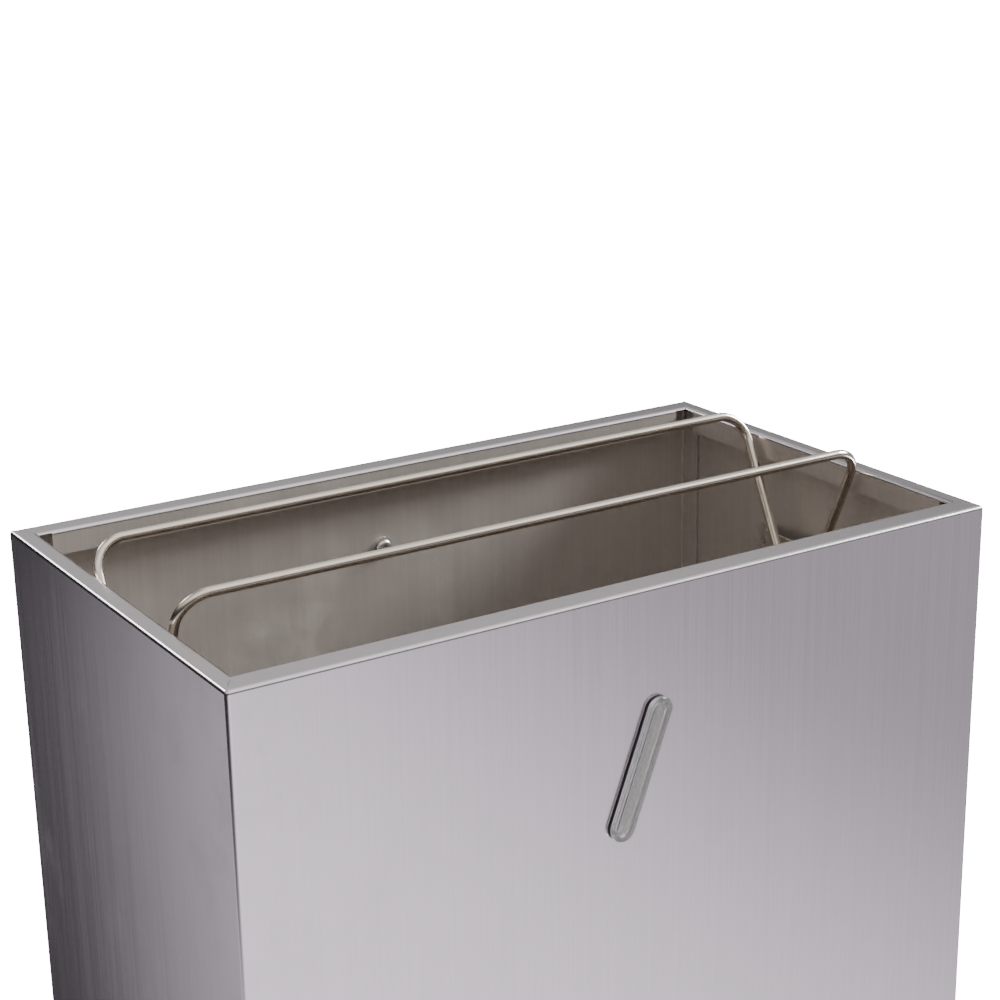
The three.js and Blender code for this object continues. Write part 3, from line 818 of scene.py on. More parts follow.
@dataclass
class Casing:
    """The wrap with front and sides, the back panel lapped inside it, and the pan they stand on."""

    sizes: CasingSizes
    aperture: "Lens"
    pan_low: float = field(default_factory=lambda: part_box("bottom_pan")[0].z)
    pan_edge: float = 25.0 * MM
    pan_sheet: float = 1.2 * MM
    back_bore: float = 2.85 * MM
    foot_bore: float = 2.35 * MM
    weld_inset: Point = (0.9 * MM, 1.2 * MM, 0.0)
    weld_overrun: Point = (0.5 * MM, 0.7 * MM, 0.0)
    weld_half_width: float = 0.75 * MM
    weld_half_height: float = 0.35 * MM
    fold_segments: int = 8

    def build(self) -> None:
        """Builds and dresses the three sheets and the welds between them."""
        self.wrap()
        self.back()
        self.pan()
        self.corner_welds()

    def _ring(self) -> Mesh:
        """The whole form with four walls, the rim and its lips, with every fold rounded."""
        s = self.sizes
        mesh = box((-s.half_width, -s.half_depth, s.lift), (s.half_width, s.half_depth, s.height))
        remove(mesh, faces_where(mesh, lambda f: f.normal.z < -0.5))
        top = faces_where(mesh, lambda f: f.normal.z > 0.5)
        bmesh.ops.inset_region(mesh, faces=top, thickness=s.side_rim, use_even_offset=True)
        inner = faces_where(mesh, lambda f: f.normal.z > 0.5 and len(f.verts) == 4
                            and all(abs(v.co.x) < s.half_width - MM for v in f.verts))
        loop = list(inner[0].edges)
        bmesh.ops.scale(
            mesh, vec=(1, s.mouth[1] / (s.half_depth - s.side_rim), 1), verts=list(inner[0].verts))
        remove(mesh, inner)
        extrude(mesh, loop, (0, 0, -s.lip))
        outer = [
            e for e in mesh.edges
            if all(near(abs(v.co.x), s.half_width) or near(abs(v.co.y), s.half_depth) for v in e.verts)
            and len(e.link_faces) == 2
        ]
        fold(mesh, outer + [e for e in loop if e.is_valid], s.bend, self.fold_segments)
        return mesh

    def _rim(self, mesh: Mesh, test: Callable[[Vector], bool]) -> list[Face]:
        """The faces of the rim and its lips whose middle passes a test."""
        low = self.sizes.height - self.sizes.lip - MM
        return [f for f in mesh.faces if min(v.co.z for v in f.verts) > low and test(centre(f))]

    def _notch_lips(self, mesh: Mesh) -> None:
        """Takes the ring's lips away near the mouth's corners."""
        s = self.sizes
        mouth_x, mouth_y = s.mouth
        stop_x, stop_y = mouth_x - s.notch, mouth_y - s.notch
        under = s.height - s.bend / 2

        def lips() -> list[Face]:
            """The lips and the lower half of their bends."""
            return [f for f in mesh.faces
                    if abs(centre(f).x) < mouth_x + s.bend
                    and abs(centre(f).y) < mouth_y + s.bend
                    and centre(f).z < under]

        for side in (-1, 1):
            cut(mesh, lips(), (side * stop_x, 0, 0), (1, 0, 0))
            cut(mesh, lips(), (0, side * stop_y, 0), (0, 1, 0))
        corner = [f for f in lips()
                  if abs(centre(f).x) > stop_x and abs(centre(f).y) > stop_y]
        remove(mesh, corner)

    def _open_rear(self, mesh: Mesh) -> None:
        """Leaves only a narrow return of the ring's rear wall on either side."""
        s = self.sizes
        rear = s.half_width - s.rear_return
        for side in (-1, 1):
            cut(mesh, faces_where(mesh, lambda f: f.normal.y > 0.9), (side * rear, 0, 0), (1, 0, 0))
        remove(mesh, faces_where(
            mesh, lambda f: f.normal.y > 0.9 and abs(centre(f).x) < rear
            and centre(f).y > s.half_depth - s.bend))

    def _mitre_ring(self, mesh: Mesh) -> None:
        """Ends the ring's side rims on their mitres and takes its back rim away."""
        s = self.sizes
        for side in (-1, 1):
            cut(mesh, self._rim(mesh, lambda middle: middle.y > 0), *s.mitre(side))

        def past_mitre(middle: Vector) -> bool:
            """Whether a point lies beyond the mitre on its side."""
            point, normal = s.mitre(1 if middle.x > 0 else -1)
            return middle.y > 0 and (middle - Vector(point)).dot(normal) < 0

        remove(mesh, self._rim(mesh, past_mitre))

    def _lower_returns(self, mesh: Mesh) -> None:
        """Ends the rear returns a seam below the back panel's rim."""
        s = self.sizes
        top = s.height - s.bend - s.seam
        cut(mesh, [f for f in mesh.faces if centre(f).y > s.panel_face - s.bend], (0, 0, top), (0, 0, 1))
        remove(mesh, [f for f in mesh.faces if centre(f).y > s.half_depth - s.bend
                      and centre(f).z > top and f.normal.y > 0.3])

    def wrap(self) -> None:
        """Front, two sides, rear returns, and the rim on three sides."""
        s = self.sizes
        mesh = self._ring()
        self._notch_lips(mesh)
        self._open_rear(mesh)
        self._mitre_ring(mesh)
        self._lower_returns(mesh)
        blank = Blank("casing_wrap", mesh).thicken(s.sheet)
        blank.bore(self.aperture.prism(self.aperture.lap - s.seam, -2 * s.bend, 2 * s.bend))
        blank.dress(OUTER_STEEL, "outer_steel", Body.CASING, "body_wrap")
        skin = s.sheet / 2
        blank.dress_part(INNER_STEEL, lambda middle: (
            middle.z < s.height - s.bend and abs(middle.x) < s.half_width - skin
            and abs(middle.y) < s.half_depth - skin))

    def _panel_skin(self) -> Mesh:
        """The back panel's skin: its face, forward returns, rim and lip, with every fold rounded."""
        s = self.sizes
        inner_half, strip_low, mouth_y = s.panel_half - s.bend, s.rim_strip, s.mouth[1]
        mesh = bmesh.new()
        bmesh.ops.create_grid(mesh, x_segments=1, y_segments=1, size=0.5)
        place(mesh, Matrix.Rotation(math.pi / 2, 4, "X"))
        bmesh.ops.scale(mesh, vec=(2 * inner_half, 1, s.height - s.lift), verts=mesh.verts)
        place(mesh, Matrix.Translation((0, s.panel_face, (s.height + s.lift) / 2)))
        for level in (strip_low, strip_low - s.seam):
            cut(mesh, mesh.faces, (0, 0, level), (0, 0, 1))
        top = edges_where(mesh, lambda a, b: near(a.z, s.height) and near(b.z, s.height))
        extrude(mesh, top, (0, mouth_y - s.panel_face, 0))
        sides = edges_where(
            mesh, lambda a, b: near(abs(a.x), inner_half) and near(a.x, b.x)
            and min(a.z, b.z) > strip_low - SLIVER)
        for side in (-1, 1):
            wide = [e for e in sides if e.verts[0].co.x * side > 0]
            extrude(mesh, wide, (side * (s.half_width - inner_half), 0, 0))
        lip = edges_where(mesh, lambda a, b: near(a.y, mouth_y) and near(b.y, mouth_y)
                          and near(a.z, s.height) and near(b.z, s.height))
        extrude(mesh, lip, (0, 0, -s.lip))
        low = edges_where(
            mesh, lambda a, b: near(abs(a.x), inner_half) and near(a.x, b.x)
            and max(a.z, b.z) < strip_low - s.seam + SLIVER and near(a.y, s.panel_face))
        for side in (-1, 1):
            stem = [e for e in low if e.verts[0].co.x * side > 0]
            corner = extrude(mesh, stem, (side * s.bend, 0, 0))
            extrude(mesh, corner, (0, -s.panel_return, 0))
        folds = edges_where(
            mesh, lambda a, b: (near(a.z, s.height) and near(b.z, s.height) and near(a.y, b.y))
            or (near(abs(a.x), s.panel_half) and near(a.x, b.x) and near(a.y, s.panel_face)
                and near(b.y, s.panel_face) and max(a.z, b.z) < strip_low))
        fold(mesh, [e for e in folds if len(e.link_faces) == 2], s.bend, self.fold_segments)
        return mesh

    def _trim_panel(self, mesh: Mesh) -> None:
        """Ends the back panel's rim on the mitres and takes its lip away near them."""
        s = self.sizes
        mouth_x, mouth_y = s.mouth
        stop, under = mouth_x - s.notch, s.height - s.bend / 2
        for side in (-1, 1):
            point, normal = s.mitre(side)
            start = Vector(point) - normal * s.seam
            cut(mesh, self._rim(mesh, lambda middle: True), start, normal)
            remove(mesh, self._rim(
                mesh, lambda middle: (middle - start).dot(normal) > 0 and middle.x * side > 0))

        def in_lip(middle: Vector) -> bool:
            """Whether a point of the rim is in its lip or the lower half of the lip's bend."""
            return middle.y < mouth_y + s.bend and middle.z < under

        for side in (-1, 1):
            cut(mesh, self._rim(mesh, in_lip), (side * stop, 0, 0), (1, 0, 0))
            remove(mesh, self._rim(mesh, lambda middle: in_lip(middle) and middle.x * side > stop))

    def _shorten_returns(self, mesh: Mesh) -> None:
        """Ends the back panel's forward returns above the pan and below the lips."""
        s = self.sizes
        low, high = self.pan_low + self.pan_edge + MM, s.height - s.lip - 2 * MM
        for level in (low, high):
            cut(mesh, [f for f in mesh.faces if abs(f.normal.x) > 0.9], (0, 0, level), (0, 0, 1))
        remove(mesh, [f for f in mesh.faces if abs(f.normal.x) > 0.9
                      and centre(f).y < s.panel_face - s.bend and not low < centre(f).z < high])

    def back(self) -> None:
        """The back panel, bored for its screw."""
        s = self.sizes
        mesh = self._panel_skin()
        self._trim_panel(mesh)
        self._shorten_returns(mesh)
        bmesh.ops.recalc_face_normals(mesh, faces=mesh.faces)
        face_up(mesh, 1)
        screw = middle_of("back_screw")
        blank = Blank("casing_back", mesh).thicken(s.sheet)
        blank.bore(cylinder(self.back_bore, (screw.x, s.panel_face - DRILL, screw.z),
                            (screw.x, s.panel_face + DRILL, screw.z)))
        blank.dress(INNER_STEEL, "inner_steel", Body.CASING, "back_panel")
        blank.dress_part(OUTER_STEEL, lambda middle: middle.z > s.height - s.bend)

    def pan(self) -> None:
        """The tray that closes the casing below."""
        s = self.sizes
        low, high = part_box("bottom_pan")
        mesh = box(tuple(low), tuple(high))
        remove(mesh, faces_where(mesh, lambda f: f.normal.z > 0.5))
        fold(mesh, [e for e in mesh.edges if len(e.link_faces) == 2], s.bend, self.fold_segments)
        blank = Blank("bottom_pan_sheet", mesh).thicken(self.pan_sheet)
        for corner in CORNERS:
            screw = middle_of(f"foot_screw_{corner}")
            blank.bore(cylinder(self.foot_bore, (screw.x, screw.y, low.z - DRILL),
                                (screw.x, screw.y, low.z + DRILL)))
        blank.dress(INNER_STEEL, "inner_steel", Body.CASING, "bottom_pan")

    def corner_welds(self) -> None:
        """Ground beads on the rim's four mitres."""
        s = self.sizes
        mouth_x, mouth_y = s.mouth
        for end, word in ((-1, "front"), (1, "back")):
            for side, hand in ((-1, "left"), (1, "right")):
                quarter = Vector((side, end, 0))
                outer = quarter * (Vector((s.half_width, s.half_depth, 0)) - Vector(self.weld_inset))
                inner = quarter * (Vector((mouth_x, mouth_y, 0)) + Vector(self.weld_overrun))
                line = outer - inner
                mesh = bmesh.new()
                bmesh.ops.create_uvsphere(mesh, u_segments=28, v_segments=14, radius=1)
                bmesh.ops.scale(
                    mesh, vec=(line.length / 2, self.weld_half_width, self.weld_half_height),
                    verts=mesh.verts)
                below = [v for v in mesh.verts if v.co.z < 0]
                bmesh.ops.scale(mesh, vec=(1, 1, 0.8), verts=below)
                turn = Matrix.Rotation(math.atan2(line.y, line.x), 4, "Z")
                middle = (outer + inner) / 2 + Vector((0, 0, s.height - 0.3 * MM))
                place(mesh, Matrix.Translation(middle) @ turn)
                Blank(f"rim_weld_{word}_{hand}", mesh).dress(
                    GROUND_WELD, "outer_steel", Body.CASING)


# ---------------------------------------------------------------------------
# Sight lens
# ---------------------------------------------------------------------------


@dataclass
class Lens:
    """The leaning window with its gasket in front of the sheet and its retainer behind."""

    front: float
    length: float = 72.0 * MM
    width: float = 14.0 * MM
    lean: float = 21.0
    lap: float = 2.8 * MM
    wall: float = 1.4 * MM
    spigot: float = 4.0 * MM
    window: float = 3.6 * MM
    gasket: float = 0.8 * MM
    seam: float = 0.3 * MM
    retainer_sheet: float = 1.5 * MM
    retainer_rim: float = 3.5 * MM
    segments: int = 64

    def _stand(self) -> Matrix:
        """Turns a shape drawn in XY so that its Z comes out of the front, at the lens's place."""
        middle = middle_of("sight_lens")
        basis = Matrix(((1, 0, 0), (0, 0, -1), (0, 1, 0))).to_4x4()
        turn = Matrix.Rotation(-math.radians(self.lean), 4, "Z")
        return Matrix.Translation((middle.x, self.front, middle.z)) @ basis @ turn

    def _outline(self, mesh: Mesh, inset: float, level: float) -> list[Edge]:
        """Draws the obround.

        Args:
            mesh: The mesh to draw in.
            inset: How far inside the lens's edge.
            level: Its height above the front sheet.

        Returns:
            The outline's edges.
        """
        turn = Matrix.Rotation(math.pi / self.segments, 4, "Z")
        made = bmesh.ops.create_circle(
            mesh, cap_ends=False, radius=self.width / 2 - inset, segments=self.segments,
            matrix=Matrix.Translation((0, 0, level)) @ turn)["verts"]
        for v in made:
            v.co.y += math.copysign((self.length - self.width) / 2, v.co.y)
        return list(mesh.edges)

    def _draw_on(self, mesh: Mesh, ring: list[Edge], growth: float,
                 step: float) -> list[Edge]:
        """Draws an obround on to one of another size.

        Args:
            mesh: The mesh that holds it.
            ring: The obround's edges.
            growth: The new end radius over the old one.
            step: How far it rises.

        Returns:
            The new obround's edges.
        """
        upper = extrude(mesh, ring, (0, 0, step))
        half = (self.length - self.width) / 2
        for v in {v for e in upper for v in e.verts}:
            middle = math.copysign(half, v.co.y)
            v.co.x *= growth
            v.co.y = middle + (v.co.y - middle) * growth
        return upper

    def stack(self, levels: Sequence[tuple[float, float]], closed: bool = False) -> Mesh:
        """Lofts obrounds on to each other.

        Args:
            levels: Inset and height of each obround, in order.
            closed: Whether the last joins the first, as in a ring, so that nothing is capped.

        Returns:
            The solid, in place on the bin's front.
        """
        mesh = bmesh.new()
        rings = [self._outline(mesh, *levels[0])]
        run = [*levels, levels[0]] if closed else levels
        for (inset, level), (next_inset, next_level) in zip(run, run[1:]):
            growth = (self.width / 2 - next_inset) / (self.width / 2 - inset)
            rings.append(self._draw_on(mesh, rings[-1], growth, next_level - level))
        if closed:
            bmesh.ops.remove_doubles(mesh, verts=mesh.verts, dist=SAME_CUT)
        else:
            for ring in (rings[0], rings[-1]):
                bmesh.ops.contextual_create(mesh, geom=ring)
        bmesh.ops.recalc_face_normals(mesh, faces=mesh.faces)
        if mesh.calc_volume(signed=True) < 0:
            bmesh.ops.reverse_faces(mesh, faces=mesh.faces)
        return place(mesh, self._stand())

    def prism(self, inset: float, start: float, end: float) -> Mesh:
        """A plain obround bar so far inside the lens's edge, used as a cutter."""
        return self.stack([(inset, start), (inset, end)])

    def build(self) -> None:
        """Builds and dresses the window, its gasket and its retainer."""
        self.pane()
        self.seal()
        self.retainer()

    def pane(self) -> None:
        """The clear window: stepped and crowned in front, with a hollow spigot behind."""
        back = self.gasket + 2 * self.seam
        face = self.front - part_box("sight_lens")[0].y
        step = 0.7 * MM
        levels = [
            (self.lap + self.wall, face - self.window),
            (self.lap + self.wall, -self.spigot),
            (self.lap + 0.2 * MM, -self.spigot),
            (self.lap, -self.spigot + 0.2 * MM),
            (self.lap, back),
            (0.15 * MM, back),
            (0.0, back + 0.15 * MM),
            (0.0, face - step - 0.8 * MM),
            (0.25 * MM, face - step - 0.25 * MM),
            (0.8 * MM, face - step),
            (1.9 * MM, face - step),
            (2.2 * MM, face - step + 0.12 * MM),
            (2.5 * MM, face - 0.25 * MM),
            (2.9 * MM, face - 0.08 * MM),
            (3.8 * MM, face),
        ]
        Blank("sight_window", self.stack(levels)).dress(
            CLEAR_LENS, "clear_lens", Body.CASING, "sight_lens", sharp=50)

    def seal(self) -> None:
        """The foam gasket under the window's flange."""
        low, high = self.seam, self.seam + self.gasket
        outer, inner = 0.1 * MM, self.lap - self.seam
        bulge = 0.12 * MM
        levels = [
            (inner, low), (inner, high), (outer + bulge, high), (outer, high - bulge),
            (outer, low + bulge), (outer + bulge, low),
        ]
        Blank("window_gasket", self.stack(levels, closed=True)).dress(
            GASKET_FOAM, "gasket_foam", Body.CASING, "lens_gasket")

    def retainer(self) -> None:
        """The nylon ring that clamps the window from inside."""
        sheet = CasingSizes().sheet
        high = -sheet - self.seam
        low = high - self.retainer_sheet
        outer, inner = self.lap - self.retainer_rim, self.lap - self.seam
        ease_by = 0.3 * MM
        levels = [
            (inner, high), (outer, high), (outer, low + ease_by), (outer + ease_by, low),
            (inner - ease_by, low), (inner, low + ease_by),
        ]
        Blank("window_retainer", self.stack(levels, closed=True)).dress(
            RETAINER_NYLON, "retainer_plastic", Body.CASING, "lens_retainer")


# ---------------------------------------------------------------------------
# Bag wires and brackets
# ---------------------------------------------------------------------------


@dataclass
class BagWire:
    """One bent wire: two legs, a top bar, and pins that turn outwards into the brackets."""

    node: str
    name: str
    body: Body
    pivot: Vector
    lean: float
    diameter: float = 5.0 * MM
    leg: float = 100.0 * MM
    leg_x: float = 195.0 * MM
    pin_x: float = 205.0 * MM
    bend: float = 16.0 * MM
    pin_bend: float = 3.8 * MM
    pin_ease: float = 0.5 * MM
    sides: int = 28

    def _turn(self, mesh: Mesh, ring: list[Edge], centre: Point, angle: float,
              steps: int) -> list[Edge]:
        """Bends the wire about a centre.

        Args:
            mesh: The wire so far.
            ring: Its open end.
            centre: Centre of the bend, in the wire's own plane.
            angle: How far it bends about Y, in degrees.
            steps: Rings in the bend.

        Returns:
            The new open end.
        """
        verts = list({v for e in ring for v in e.verts})
        made = bmesh.ops.spin(
            mesh, geom=verts + ring, cent=centre, axis=(0, 1, 0), dvec=(0, 0, 0),
            angle=math.radians(angle), steps=steps, use_merge=False, use_duplicate=False)["geom_last"]
        return [g for g in made if isinstance(g, Edge)]

    def build(self) -> None:
        """Bends the wire, leans it out on its pivot and dresses it."""
        mesh = bmesh.new()
        turn = Matrix.Rotation(math.pi / 2, 4, "Y")
        start = Matrix.Translation((-self.pin_x, 0, 0)) @ turn
        bmesh.ops.create_circle(
            mesh, cap_ends=False, radius=self.diameter / 2, segments=self.sides, matrix=start)
        ring = list(mesh.edges)
        leg_run = self.leg - self.bend - self.pin_bend
        bar_run = 2 * (self.leg_x - self.bend)
        pin_run = self.pin_x - self.leg_x - self.pin_bend
        pin_turn, top_turn = self.leg_x + self.pin_bend, self.leg_x - self.bend
        low, high = self.pin_bend, self.leg - self.bend
        for step, x, z, angle, steps in (
                ((pin_run, 0, 0), -pin_turn, low, -90, 10), ((0, 0, leg_run), -top_turn, high, 90, 20),
                ((bar_run, 0, 0), top_turn, high, 90, 20), ((0, 0, -leg_run), pin_turn, low, -90, 10)):
            ring = self._turn(mesh, extrude(mesh, ring, step), (x, 0, z), angle, steps)
        extrude(mesh, ring, (pin_run, 0, 0))
        bmesh.ops.remove_doubles(mesh, verts=mesh.verts, dist=SAME_POINT)
        bmesh.ops.holes_fill(mesh, edges=[e for e in mesh.edges if e.is_boundary], sides=0)
        bmesh.ops.recalc_face_normals(mesh, faces=mesh.faces)
        ends = [e for e in mesh.edges if abs(e.verts[0].co.x) > self.pin_x - 0.01 * MM
                and near(e.verts[0].co.x, e.verts[1].co.x)]
        fold(mesh, ends, self.pin_ease, 3)
        place(mesh, Matrix.Translation(self.pivot) @ Matrix.Rotation(math.radians(self.lean), 4, "X"))
        Blank(self.name, mesh).dress(WIRE_STEEL, "wire_steel", self.body, self.node, sharp=50)


@dataclass
class Bracket:
    """A folded strip spot-welded to the side, with two pivot holes and two lanced stop tabs."""

    hand: str
    side: int
    pivot_z: float
    half_gap: float
    leans: tuple[float, float]
    wall: float
    sheet: float = 1.5 * MM
    half_web: float = 34.0 * MM
    rise: float = 6.0 * MM
    foot: float = 9.0 * MM
    stand: float = 8.0 * MM
    above: float = 24.0 * MM
    below: float = 16.0 * MM
    tab_start: float = 10.0 * MM
    tab_length: float = 11.0 * MM
    tab_reach: float = 18.0 * MM
    wire: float = 5.0 * MM
    play: float = 0.5 * MM
    seam: float = 0.3 * MM
    fold_radius: float = 2.2 * MM
    corner_radius: float = 3.0 * MM
    edge_ease: float = 0.18 * MM

    def _strip(self) -> Mesh:
        """The strip's skin, seen from inside the bin: x inward from the wall, y along the depth."""
        mesh = bmesh.new()
        web, rise, foot = self.half_web, self.half_web + self.rise, self.half_web + self.rise + self.foot
        back = self.stand + self.sheet
        ground = self.seam + self.sheet
        stations = [(ground, -foot), (ground, -rise), (back, -web), (back, web), (ground, rise),
                    (ground, foot)]
        first = [mesh.verts.new((stations[0][0], stations[0][1], z)) for z in (-self.below, self.above)]
        edges = [mesh.edges.new(first)]
        for (x0, y0), (x1, y1) in zip(stations, stations[1:]):
            edges = extrude(mesh, edges, (x1 - x0, y1 - y0, 0))
        upright = [e for e in mesh.edges if len(e.link_faces) == 2]
        fold(mesh, upright, self.fold_radius, 6)
        corners = [v for v in mesh.verts if near(abs(v.co.y), foot)]
        bmesh.ops.bevel(mesh, geom=corners, offset=self.corner_radius, offset_type="OFFSET", segments=6,
                        profile=0.5, affect="VERTICES", clamp_overlap=False, material=-1)
        bmesh.ops.recalc_face_normals(mesh, faces=mesh.faces)
        face_up(mesh, 0)
        return mesh

    def _tab(self, end: int, lean: float, start: float, stop: float, x0: float, x1: float) -> Mesh:
        """A block square to a leaning leg.

        Args:
            end: -1 for the front leg, 1 for the back one.
            lean: The leg's lean, in degrees.
            start: Where it starts, outward from the leg's middle.
            stop: Where it ends.
            x0: Its lower x.
            x1: Its upper x.

        Returns:
            The block.
        """
        mesh = box((x0, start, self.tab_start), (x1, stop, self.tab_start + self.tab_length))
        place(mesh, Matrix.Rotation(-math.radians(lean), 4, "X"))
        place(mesh, Matrix.Translation((0, self.half_gap, 0)))
        if end < 0:
            place(mesh, Matrix.Scale(-1, 4, (0, 1, 0)))
            bmesh.ops.reverse_faces(mesh, faces=mesh.faces)
        return mesh

    def build(self) -> None:
        """Folds, lances and bores the bracket, and dresses it with its spot welds."""
        blank = Blank(f"pivot_bracket_{self.hand}", self._strip()).thicken(self.sheet)
        face = self.stand + self.sheet
        leg = self.wire / 2 + self.seam
        for end, lean in zip((-1, 1), self.leans):
            window = leg + self.sheet + self.tab_reach - face
            blank.bore(self._tab(end, lean, leg + self.sheet, window, 0.0, face + MM))
            blank.weld(self._tab(end, lean, leg, leg + self.sheet, face - 0.5 * self.sheet, self.tab_reach))
            blank.bore(cylinder(self.wire / 2 + self.play, (2 * MM, end * self.half_gap, 0),
                                (face + MM, end * self.half_gap, 0)))
        blank.eased(50, self.edge_ease)
        self._stand(blank.object.data)
        blank.dress(BRACKET_STEEL, "inner_steel", Body.CASING, f"wire_bracket_{self.hand}", sharp=40)
        self._spot_welds()

    def _stand(self, data: bpy.types.Mesh) -> None:
        """Puts a mesh drawn from the wall inwards where this bracket is.

        Args:
            data: The mesh to move.
        """
        mesh = bmesh.new()
        mesh.from_mesh(data)
        place(mesh, Matrix.Scale(-self.side, 4, (1, 0, 0)))
        if self.side > 0:
            bmesh.ops.reverse_faces(mesh, faces=mesh.faces)
        place(mesh, Matrix.Translation((self.side * self.wall, 0, self.pivot_z)))
        mesh.to_mesh(data)
        mesh.free()

    def _spot_welds(self) -> None:
        """Four pressed nuggets, two on each foot."""
        dish = [(0.0, 0.06 * MM), (1.3 * MM, 0.05 * MM), (1.9 * MM, 0.16 * MM), (2.3 * MM, 0.14 * MM),
                (2.7 * MM, 0.0), (2.7 * MM, -0.2 * MM), (0.0, -0.2 * MM)]
        foot = self.half_web + self.rise + self.foot / 2
        ground = self.seam + self.sheet
        nuggets = []
        for y in (-foot, foot):
            for z in (-self.below / 2, self.above * 0.6):
                nugget = turned(dish, 28)
                place(nugget, Matrix.Rotation(math.pi / 2, 4, "Y"))
                nuggets.append(place(nugget, Matrix.Translation((ground, y, z))))
        blank = Blank(f"spot_welds_{self.hand}", merge(nuggets))
        self._stand(blank.object.data)
        blank.dress(GROUND_WELD, "inner_steel", Body.CASING)


# ---------------------------------------------------------------------------
# Fasteners and feet
# ---------------------------------------------------------------------------


@dataclass(frozen=True)
class Thread:
    """A metric fastener size."""

    thread: float
    head: float
    head_height: float
    flats: float
    nut_height: float
    washer: float
    washer_sheet: float
    pitch: float
    play: float = 0.35 * MM
    drive_width: float = 1.0 * MM
    drive_depth: float = 1.3 * MM

    def screw(self, length: float) -> Blank:
        """A pan-head screw with a cross drive and cut threads, its seat at 0 and its thread along +Z.

        Args:
            length: Seat to thread end.

        Returns:
            The screw on the bench.
        """
        crown = self.head_height
        profile = [(0.0, -crown)]
        profile += [
            (self.head * math.sin(a) ** 0.8, -crown * (0.25 + 0.75 * math.cos(a)))
            for a in (math.radians(step * 90 / 8) for step in range(3, 9))
        ]
        profile += [(self.head - 0.15 * MM, 0.0), (self.thread, 0.0)]
        root = self.thread - 0.5 * self.pitch
        turns = int((length - 1.2 * self.pitch) / self.pitch)
        start = length - self.pitch * (turns + 0.6)
        for turn in range(turns):
            base = start + turn * self.pitch
            profile += [(self.thread, base), (root, base + 0.45 * self.pitch),
                        (root, base + 0.55 * self.pitch), (self.thread, base + 0.94 * self.pitch)]
        profile += [(self.thread, length - 0.55 * self.pitch), (root, length), (0.0, length)]
        blank = Blank("screw", turned(profile, 40))
        reach, half = self.head * 0.52, self.drive_width / 2
        top, floor = -crown - MM, -crown + self.drive_depth
        blank.bore(box((-reach, -half, top), (reach, half, floor)))
        return blank.bore(box((-half, -reach, top), (half, reach, floor)))

    def ring(self) -> Mesh:
        """A washer, lying on 0, with one rounded and one sharp face as a punched one has."""
        inner, outer, high = self.thread + self.play, self.washer, self.washer_sheet
        soft = 0.2 * MM
        return turned([
            (inner + soft, 0.0), (outer, 0.0), (outer, high - soft), (outer - soft / 3, high - soft / 3),
            (outer - soft, high), (inner + soft / 2, high), (inner, high - soft), (inner, soft),
        ])

    def nut(self) -> Blank:
        """A hexagon nut with turned corners and a countersunk bore, lying on 0."""
        corner = self.flats / 2 / math.cos(math.pi / 6)
        high, bore = self.nut_height, self.thread + self.play
        lead = 0.4 * MM
        mesh = bmesh.new()
        bmesh.ops.create_cone(mesh, cap_ends=True, segments=6, radius1=corner, radius2=corner,
                              depth=high, matrix=Matrix.Translation((0, 0, high / 2)))
        drop = 0.22 * (corner - self.flats / 2) + 0.35 * MM
        blank = Blank("nut", mesh)
        off_corner = Matrix.Rotation(math.radians(2.3), 4, "Z")
        blank.keep(place(turned([
            (0.0, 0.0), (self.flats / 2 * 0.97, 0.0), (corner + 0.1 * MM, drop),
            (corner + 0.1 * MM, high - drop), (self.flats / 2 * 0.97, high), (0.0, high)]), off_corner))
        return blank.bore(place(turned([
            (0.0, -MM), (bore + lead + MM, -MM), (bore, lead), (bore, high - lead),
            (bore + lead + MM, high + MM), (0.0, high + MM)], 40), off_corner))


M4 = Thread(2 * MM, 4 * MM, 2.4 * MM, 7 * MM, 3.2 * MM, 4.5 * MM, 0.8 * MM, 0.7 * MM)
M5 = Thread(2.5 * MM, 4.75 * MM, 2.9 * MM, 8 * MM, 4 * MM, 5.5 * MM, 1 * MM, 0.8 * MM)


def fasten(blank: Blank, name: str, matrix: Matrix, node: str) -> None:
    """Names a fastener, puts it in place and dresses it.

    Args:
        blank: The fastener on the bench.
        name: Its name.
        matrix: Where it goes.
        node: The frame's node that it stands for.
    """
    blank.object.name = name
    blank.object.data.transform(matrix)
    blank.dress(FASTENER_STEEL, "fastener_steel", Body.CASING, node, sharp=30)


def clamp(size: Thread, start: str, end: str, turn: Matrix, axis: int) -> None:
    """Builds one fixing's screw, washer and nut where the frame has them.

    Args:
        size: Their size.
        start: How their names start.
        end: How their names end.
        turn: Turns +Z to the way the screw points.
        axis: Number of the axis that it points along.
    """
    low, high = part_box(f"{start}_screw{end}")
    seat = low[axis] + size.head_height
    for kind, look, blank, level in (
            ("screw", "pan_screw", size.screw(high[axis] - seat), seat),
            ("washer", "plain_washer", Blank("washer", size.ring()), None),
            ("nut", "hex_nut", size.nut(), None)):
        node = f"{start}_{kind}{end}"
        spot = (low + high) / 2
        spot[axis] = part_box(node)[0][axis] if level is None else level
        fasten(blank, f"{start}_{look}{end}", Matrix.Translation(spot) @ turn, node)


